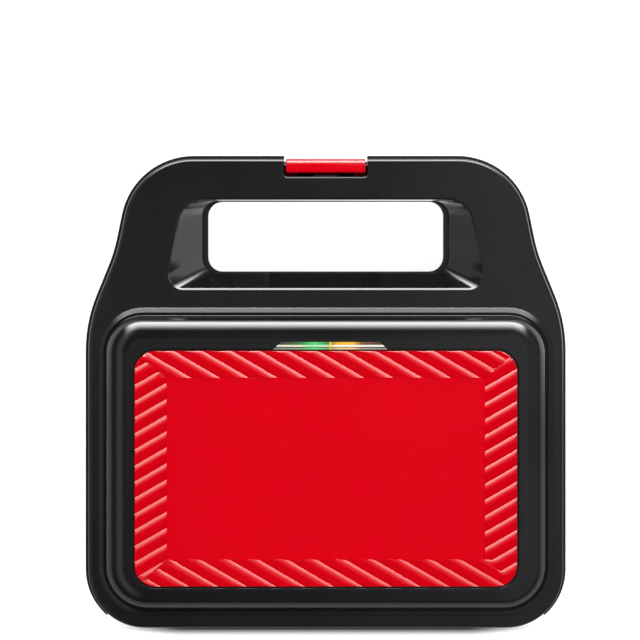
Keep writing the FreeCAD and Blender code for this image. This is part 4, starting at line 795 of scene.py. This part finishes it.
def lens_clear(finish):
    """Clear indicator window: green at one half, amber at the other; glow and highlights painted in its
    emission.
    """
    low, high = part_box("indicator_lens")
    power, ready = (sum(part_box(node), Vector()) / 2 for node in ("power_led", "ready_led"))
    width = high.x - low.x
    looks = {"IOR": 1.5, "Specular_IOR_Level": 0.3, "Roughness": 0.2, "Emission_Strength": 1.0}
    recipe = Recipe("lit_window", **looks)
    axes = recipe.axes()
    along = recipe.span(axes["X"], 0.0, 1.0, low.x, high.x)
    across = recipe.span(axes["Y"], 0.0, 1.0, low.y, high.y)
    green, amber = ((spot.x - low.x) / width for spot in (power, ready))
    split = (green + amber) / 2
    # Painted glow in place of the lamps' light: amber over the ready lamp, green over the power lamp
    glow = recipe.ramp(
        along, (0.0, (0.03, 0.01, 0.01)), (amber - 0.13, (0.24, 0.09, 0.03)), (amber - 0.06, finish.ready),
        (amber + 0.06, finish.ready), (split - 0.015, shade(finish.ready, 0.5)), (split, (0.9, 0.75, 0.1)),
        (split + 0.015, shade(finish.power, 0.4)), (green, shade(finish.power, 1.2)),
        (green + 0.11, shade(finish.power, 0.4)), (green + 0.2, (0.08, 0.09, 0.05)),
        (1.0, (0.03, 0.03, 0.03)))
    # Painted highlight along the window's crown, nearly white, and a fainter copy of it along the window's
    # foot
    crest = recipe.ramp(
        along, (0.0, (0.9, 0.9, 0.88)), (split - 0.04, (0.95, 0.92, 0.85)), (split, (0.9, 0.7, 0.1)),
        (split + 0.04, (0.6, 0.85, 0.62)), (green + 0.03, (0.38, 0.82, 0.48)),
        (green + 0.13, (0.85, 0.87, 0.6)), (1.0, (0.75, 0.75, 0.7)))
    painted_highlight_band = recipe.product(recipe.soft(across, 0.41, 0.45), recipe.soft(across, 0.63, 0.59))
    foot = recipe.product(recipe.soft(across, 0.68, 0.76), 0.35)
    recipe.feed("Emission Color", recipe.tinted(foot, recipe.tinted(painted_highlight_band, glow, crest), crest))
    # Painted glow and highlights weaker in a thin line between the two highlights and towards the front edge
    gap = recipe.product(recipe.soft(across, 0.61, 0.64), recipe.soft(across, 0.75, 0.69))
    edge = recipe.soft(across, 0.0, 0.3)
    recipe.feed("Emission Strength", recipe.product(recipe.span(gap, 1.0, 0.4), recipe.span(edge, 0.15, 1.0)))
    recipe.mottled(recipe.noise(300, 2), (0.01, 0.01, 0.01), 1, 2)
    recipe.feed("Normal", recipe.rounded(0.3 * MM))
    return recipe.material


def materials(finish):
    """One finish for each material slot of the record, and a burnished one for the latch's steel."""
    return {
        "gloss_black": gloss_black(finish),
        "liner_black": liner_black(finish),
        "red_gloss": red_gloss(finish),
        "plate_coating": plate_coating(finish),
        "heater_steel": heater_steel(),
        "tray_steel": tray_steel(),
        "spring_steel": drawn_steel("bright_spring_steel", (0.62, 0.63, 0.65)),
        "screw_steel": drawn_steel("zinc_plated_steel", (0.55, 0.56, 0.6), (400, 400, 400), 0.3),
        "burnished": drawn_steel("burnished_steel", (0.045, 0.045, 0.05), rough=0.42),
        "clear_lens": lens_clear(finish),
        "green_lamp": lamp("green_lamp_resin", tuple(finish.power)),
        "amber_lamp": lamp("amber_lamp_resin", tuple(finish.ready)),
        "board_green": board_green(),
        "block_white": ceramic("white_ceramic", (0.68, 0.66, 0.6)),
        "switch_white": ceramic("buff_ceramic", (0.6, 0.57, 0.48)),
        "wire_sleeve": wire_sleeve(),
        "foot_rubber": foot_rubber(),
    }


# Finishes by slot, filled once, and the body that each half's clip springs ride on
FINISHES = {}
SPRING_BODIES = {"lower": "base", "upper": "lid"}


def finish_of(slot):
    """The material of a slot, made with all others at the first call."""
    if not FINISHES:
        FINISHES.update(materials(bpy.context.scene.sandwich_finish))
    return FINISHES[slot]


def dress_nodes(*names):
    """Gives CAD nodes the finishes that the record names for them."""
    slots = {part["node"]: part["material_slot"] for part in frame["record"]["subparts"]}
    for name in names:
        mesh = frame["nodes"][name].data
        mesh.materials.clear()
        mesh.materials.append(finish_of(slots[name]))


# Operators

class SANDWICH_OT_housings(bpy.types.Operator):
    """Dresses both housings and their liners"""

    bl_idname = "sandwich.housings"
    bl_label = "Housings"

    def execute(self, context):
        dress_nodes("lid_cover", "base_shell", "lid_frame", "base_frame")
        return {"FINISHED"}


class SANDWICH_OT_panel(bpy.types.Operator):
    """Dresses the red panel and what fastens it"""

    bl_idname = "sandwich.panel"
    bl_label = "Red panel"

    def execute(self, context):
        dress_nodes("top_panel", "panel_clips")
        patches = panel_patches(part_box("top_panel"))
        weld(shape_piece("ribbed_panel", patches, "lid", "red_gloss", ["top_panel"]))
        return {"FINISHED"}


class SANDWICH_OT_indicator(bpy.types.Operator):
    """Dresses the indicator window, its board and lamps"""

    bl_idname = "sandwich.indicator"
    bl_label = "Indicator"

    def execute(self, context):
        dress_nodes("indicator_lens", "indicator_board", "power_led", "ready_led")
        return {"FINISHED"}


class SANDWICH_OT_latch(bpy.types.Operator):
    """Dresses the latch, its pin, spring and strike"""

    bl_idname = "sandwich.latch"
    bl_label = "Latch"

    def execute(self, context):
        dress_nodes("latch", "latch_pin", "latch_spring", "latch_catch")
        for node in ("latch_pin", "latch_spring", "latch_catch"):
            frame["nodes"][node].data.materials[0] = finish_of("burnished")
        shape_piece("latch_body", [latch_patch(*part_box("latch"))], "latch", "red_gloss", ["latch"])
        low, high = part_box("latch_spring")
        leaf = shape_piece("latch_leaf", [leaf_patch(low, high)], "lid", "spring_steel", ["latch_spring"])
        leaf.data.materials[0] = finish_of("burnished")
        weld(leaf)
        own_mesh(leaf)
        return {"FINISHED"}


class SANDWICH_OT_plates(bpy.types.Operator):
    """Dresses the cooking plates and their release clips"""

    bl_idname = "sandwich.plates"
    bl_label = "Plates and clips"

    def execute(self, context):
        dress_nodes("lower_plate", "upper_plate")
        for half in ("lower", "upper"):
            for side in ("left", "right"):
                dress_nodes(f"{half}_clip_{side}")
                node = f"{half}_clip_spring_{side}"
                low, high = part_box(node)
                patch = spring_patch(low, high, (high.x - low.x) / 2)
                spring = shape_piece(
                    f"{half}_clip_coil_{side}", [patch], SPRING_BODIES[half], "spring_steel", [node])
                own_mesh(spring)
        return {"FINISHED"}


class SANDWICH_OT_heaters(bpy.types.Operator):
    """Dresses the heaters, their trays and the control parts"""

    bl_idname = "sandwich.heaters"
    bl_label = "Heaters"

    def execute(self, context):
        dress_nodes(
            "lower_element", "upper_element", "lower_element_clips", "upper_element_clips", "lower_reflector",
            "upper_reflector", "thermostat", "thermal_fuse", "terminal_block", "base_wiring", "lid_wiring")
        return {"FINISHED"}


class SANDWICH_OT_hinge(bpy.types.Operator):
    """Dresses the hinge pins, the sleeve through the hinge and the cord entry"""

    bl_idname = "sandwich.hinge"
    bl_label = "Hinge"

    def execute(self, context):
        dress_nodes("hinge_pin_left", "hinge_pin_right", "hinge_sleeve", "cord_gland")
        return {"FINISHED"}


class SANDWICH_OT_fasteners(bpy.types.Operator):
    """Dresses the screws and the feet"""

    bl_idname = "sandwich.fasteners"
    bl_label = "Screws and feet"

    def execute(self, context):
        feet = ("foot_front_left", "foot_front_right", "foot_back_left", "foot_back_right")
        dress_nodes(*feet)
        for node, body in (("base_screws", "base"), ("lid_screws", "lid")):
            low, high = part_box(node)
            side, back = high.x - SCREW_HEAD_RADIUS, high.y - SCREW_HEAD_RADIUS
            front = low.y + SCREW_HEAD_RADIUS
            spots = ((side, SIDE_SCREW_Y), (side, back), (HANDLE_SCREW_X, front))
            patches = [screw_patches(sign * x, y, low.z, high.z) for x, y in spots for sign in (-1, 1)]
            shape_piece(node + "_cross_head", patches, body, "screw_steel", [node])
        low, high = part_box("foot_screws")
        middles = [sum(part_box(foot), Vector()) / 2 for foot in feet]
        patches = [screw_patches(middle.x, middle.y, low.z, high.z) for middle in middles]
        shape_piece("foot_screws_cross_head", patches, "base", "screw_steel", ["foot_screws"])
        return {"FINISHED"}


class SANDWICH_OT_stage(bpy.types.Operator):
    """Makes the floor, the lamps, the surroundings and the camera"""

    bl_idname = "sandwich.stage"
    bl_label = "Stage"

    def execute(self, context):
        settings = context.scene.sandwich_stage
        make_floor(settings.floor_glow)
        make_surroundings(settings.box_glow)
        make_lamp("key_box", KEY_PLACE, KEY_SIZE, settings.key_power)
        make_lamp("fill_card", FILL_PLACE, FILL_SIZE, settings.fill_power)
        for name, side, power in CARDS:
            place, aim = (side * CARD_X, *CARD_YZ), (side, *CARD_YZ)
            make_lamp(name, place, CARD_SIZE, power, aim, mirrored=True)
        make_camera(settings.camera_height)
        return {"FINISHED"}


def make_floor(glow):
    """A pale floor that shows white, with a shadow painted into it under the body and at the hinge side,
    clear from below.
    """
    signs = ((-1, -1), (1, -1), (1, 1), (-1, 1))
    corners = [(FLOOR_REACH * x, FLOOR_REACH * y, 0) for x, y in signs]
    mesh = bpy.data.meshes.new("floor")
    mesh.from_pydata(corners, [], [(0, 1, 2, 3)])
    floor = bpy.data.objects.new("floor", mesh)
    bpy.context.scene.collection.objects.link(floor)
    material = bpy.data.materials.new("pale_floor")
    material.use_nodes = True
    shader = material.node_tree.nodes["Principled BSDF"]
    wiring = Wiring(material.node_tree)
    place = wiring.add("ShaderNodeTexCoord", output=3)
    axes = wiring.add("ShaderNodeSeparateXYZ", {0: place}).node.outputs
    # Painted shadow: the floor's colour and glow sink under the body and just behind its back
    back = CAD_BOX[1][1]
    beyond = wiring.soft(axes["Y"], back + PAINTED_SHADOW_REAR[0], back + PAINTED_SHADOW_REAR[1])
    before = wiring.soft(axes["Y"], back + PAINTED_SHADOW_FRONT[0], PAINTED_SHADOW_FRONT[1])
    aside = wiring.soft(wiring.maths("ABSOLUTE", axes["X"]), *PAINTED_SHADOW_SIDE)
    # lit is one outside the painted shadow and zero inside it
    lit = wiring.maths("MINIMUM", wiring.maths("ADD", wiring.maths("ADD", beyond, before), aside), 1.0)
    wiring.links.new(wiring.span(lit, *FLOOR_PAINTED_SHADOW_AND_PALE), shader.inputs["Base Color"])
    shader.inputs["Roughness"].default_value = 0.9
    shader.inputs["Specular IOR Level"].default_value = 0.0
    shader.inputs["Emission Color"].default_value = (1, 1, 1, 1)
    seen, mirrored = wiring.rays()
    bright = wiring.span(axes["X"], *MIRRORED_SHADES)
    in_front = wiring.soft(axes["Y"], *MIRRORED_FRONT)
    shine = wiring.maths("ADD", seen, wiring.product(mirrored, bright, in_front))
    strength = wiring.product(shine, lit, glow)
    wiring.links.new(strength, shader.inputs["Emission Strength"])
    below = wiring.add("ShaderNodeNewGeometry").node.outputs["Backfacing"]
    clear = wiring.add("ShaderNodeBsdfTransparent")
    shown = wiring.add("ShaderNodeMixShader", {0: below, 1: shader.outputs["BSDF"], 2: clear})
    wiring.links.new(shown, material.node_tree.nodes["Material Output"].inputs["Surface"])
    mesh.materials.append(material)


def make_surroundings(box_glow):
    """A white background for the camera, a pale room for matt surfaces, and soft boxes for glossy ones."""
    world = bpy.data.worlds.new("studio")
    bpy.context.scene.world = world
    world.use_nodes = True
    world.node_tree.nodes.clear()
    wiring = Wiring(world.node_tree)
    place = wiring.add("ShaderNodeTexCoord").node.outputs["Generated"]
    axes = wiring.add("ShaderNodeSeparateXYZ", {0: place}).node.outputs
    sources = {"X": axes["X"], "Y": axes["Y"], "Z": axes["Z"], "aside": wiring.maths("ABSOLUTE", axes["X"])}
    glossy = LEAST_GLOW
    for glow, passages in ((box_glow, SOFT_BOX), *LOBES):
        soft = [wiring.soft(sources[axis], low, high) for axis, low, high in passages]
        glossy = wiring.maths("ADD", wiring.product(*soft, glow), glossy)
    seen, mirrored = wiring.rays()
    strength = wiring.between(seen, wiring.between(mirrored, MATT_GLOW, glossy), 1.0)
    shown = wiring.add("ShaderNodeBackground", {"Strength": strength})
    wiring.links.new(shown, wiring.nodes.new("ShaderNodeOutputWorld").inputs["Surface"])


def make_lamp(name, place, size, power, aim=LAMP_AIM, mirrored=False):
    """A rectangular soft box that faces a spot, shown in glossy surfaces or not."""
    data = bpy.data.lights.new(name, "AREA")
    data.shape = "RECTANGLE"
    data.size, data.size_y = size
    data.energy = power
    lamp_object = bpy.data.objects.new(name, data)
    lamp_object.visible_glossy = mirrored
    lamp_object.visible_camera = False
    bpy.context.scene.collection.objects.link(lamp_object)
    lamp_object.location = place
    lamp_object.rotation_euler = (Vector(aim) - Vector(place)).to_track_quat("-Z", "Y").to_euler()


def make_camera(height):
    """The photograph's view: straight down on the lid, with the handle at the top of the picture."""
    data = bpy.data.cameras.new("portrait_camera")
    data.sensor_width = SENSOR_WIDTH
    data.lens = SENSOR_WIDTH * height / VIEW_WIDTH
    data.clip_end = VIEW_END
    camera = bpy.data.objects.new("portrait_camera", data)
    bpy.context.scene.collection.objects.link(camera)
    camera.location = (*VIEW_CENTRE, LID_FLANGE + height)
    camera.rotation_euler = (0, 0, math.pi)
    bpy.context.scene.camera = camera


class SANDWICH_PT_panel(bpy.types.Panel):
    """Lists the settings and the steps"""

    bl_label = "Sandwich maker"
    bl_idname = "SANDWICH_PT_panel"
    bl_space_type = "VIEW_3D"
    bl_region_type = "UI"
    bl_category = "Sandwich maker"

    def draw(self, context):
        for settings in (context.scene.sandwich_finish, context.scene.sandwich_stage):
            for name in settings.__annotations__:
                self.layout.prop(settings, name)
        for step in STEPS:
            self.layout.operator(step.bl_idname)


STEPS = (
    SANDWICH_OT_housings,
    SANDWICH_OT_panel,
    SANDWICH_OT_indicator,
    SANDWICH_OT_latch,
    SANDWICH_OT_plates,
    SANDWICH_OT_heaters,
    SANDWICH_OT_hinge,
    SANDWICH_OT_fasteners,
    SANDWICH_OT_stage,
)
CLASSES = (SandwichFinish, SandwichStage, *STEPS, SANDWICH_PT_panel)


def register():
    """Adds the settings and the steps to Blender."""
    for item in CLASSES:
        bpy.utils.register_class(item)
    bpy.types.Scene.sandwich_finish = bpy.props.PointerProperty(type=SandwichFinish)
    bpy.types.Scene.sandwich_stage = bpy.props.PointerProperty(type=SandwichStage)


def unregister():
    """Takes the steps and the settings out again, the last first."""
    del bpy.types.Scene.sandwich_stage
    del bpy.types.Scene.sandwich_finish
    for item in reversed(CLASSES):
        bpy.utils.unregister_class(item)


def main():
    """Dresses the frame, step by step."""
    register()
    bpy.context.scene.view_settings.view_transform = "Standard"
    for step in STEPS:
        group, name = step.bl_idname.split(".")
        getattr(getattr(bpy.ops, group), name)()


if __name__ == "__main__":
    main()
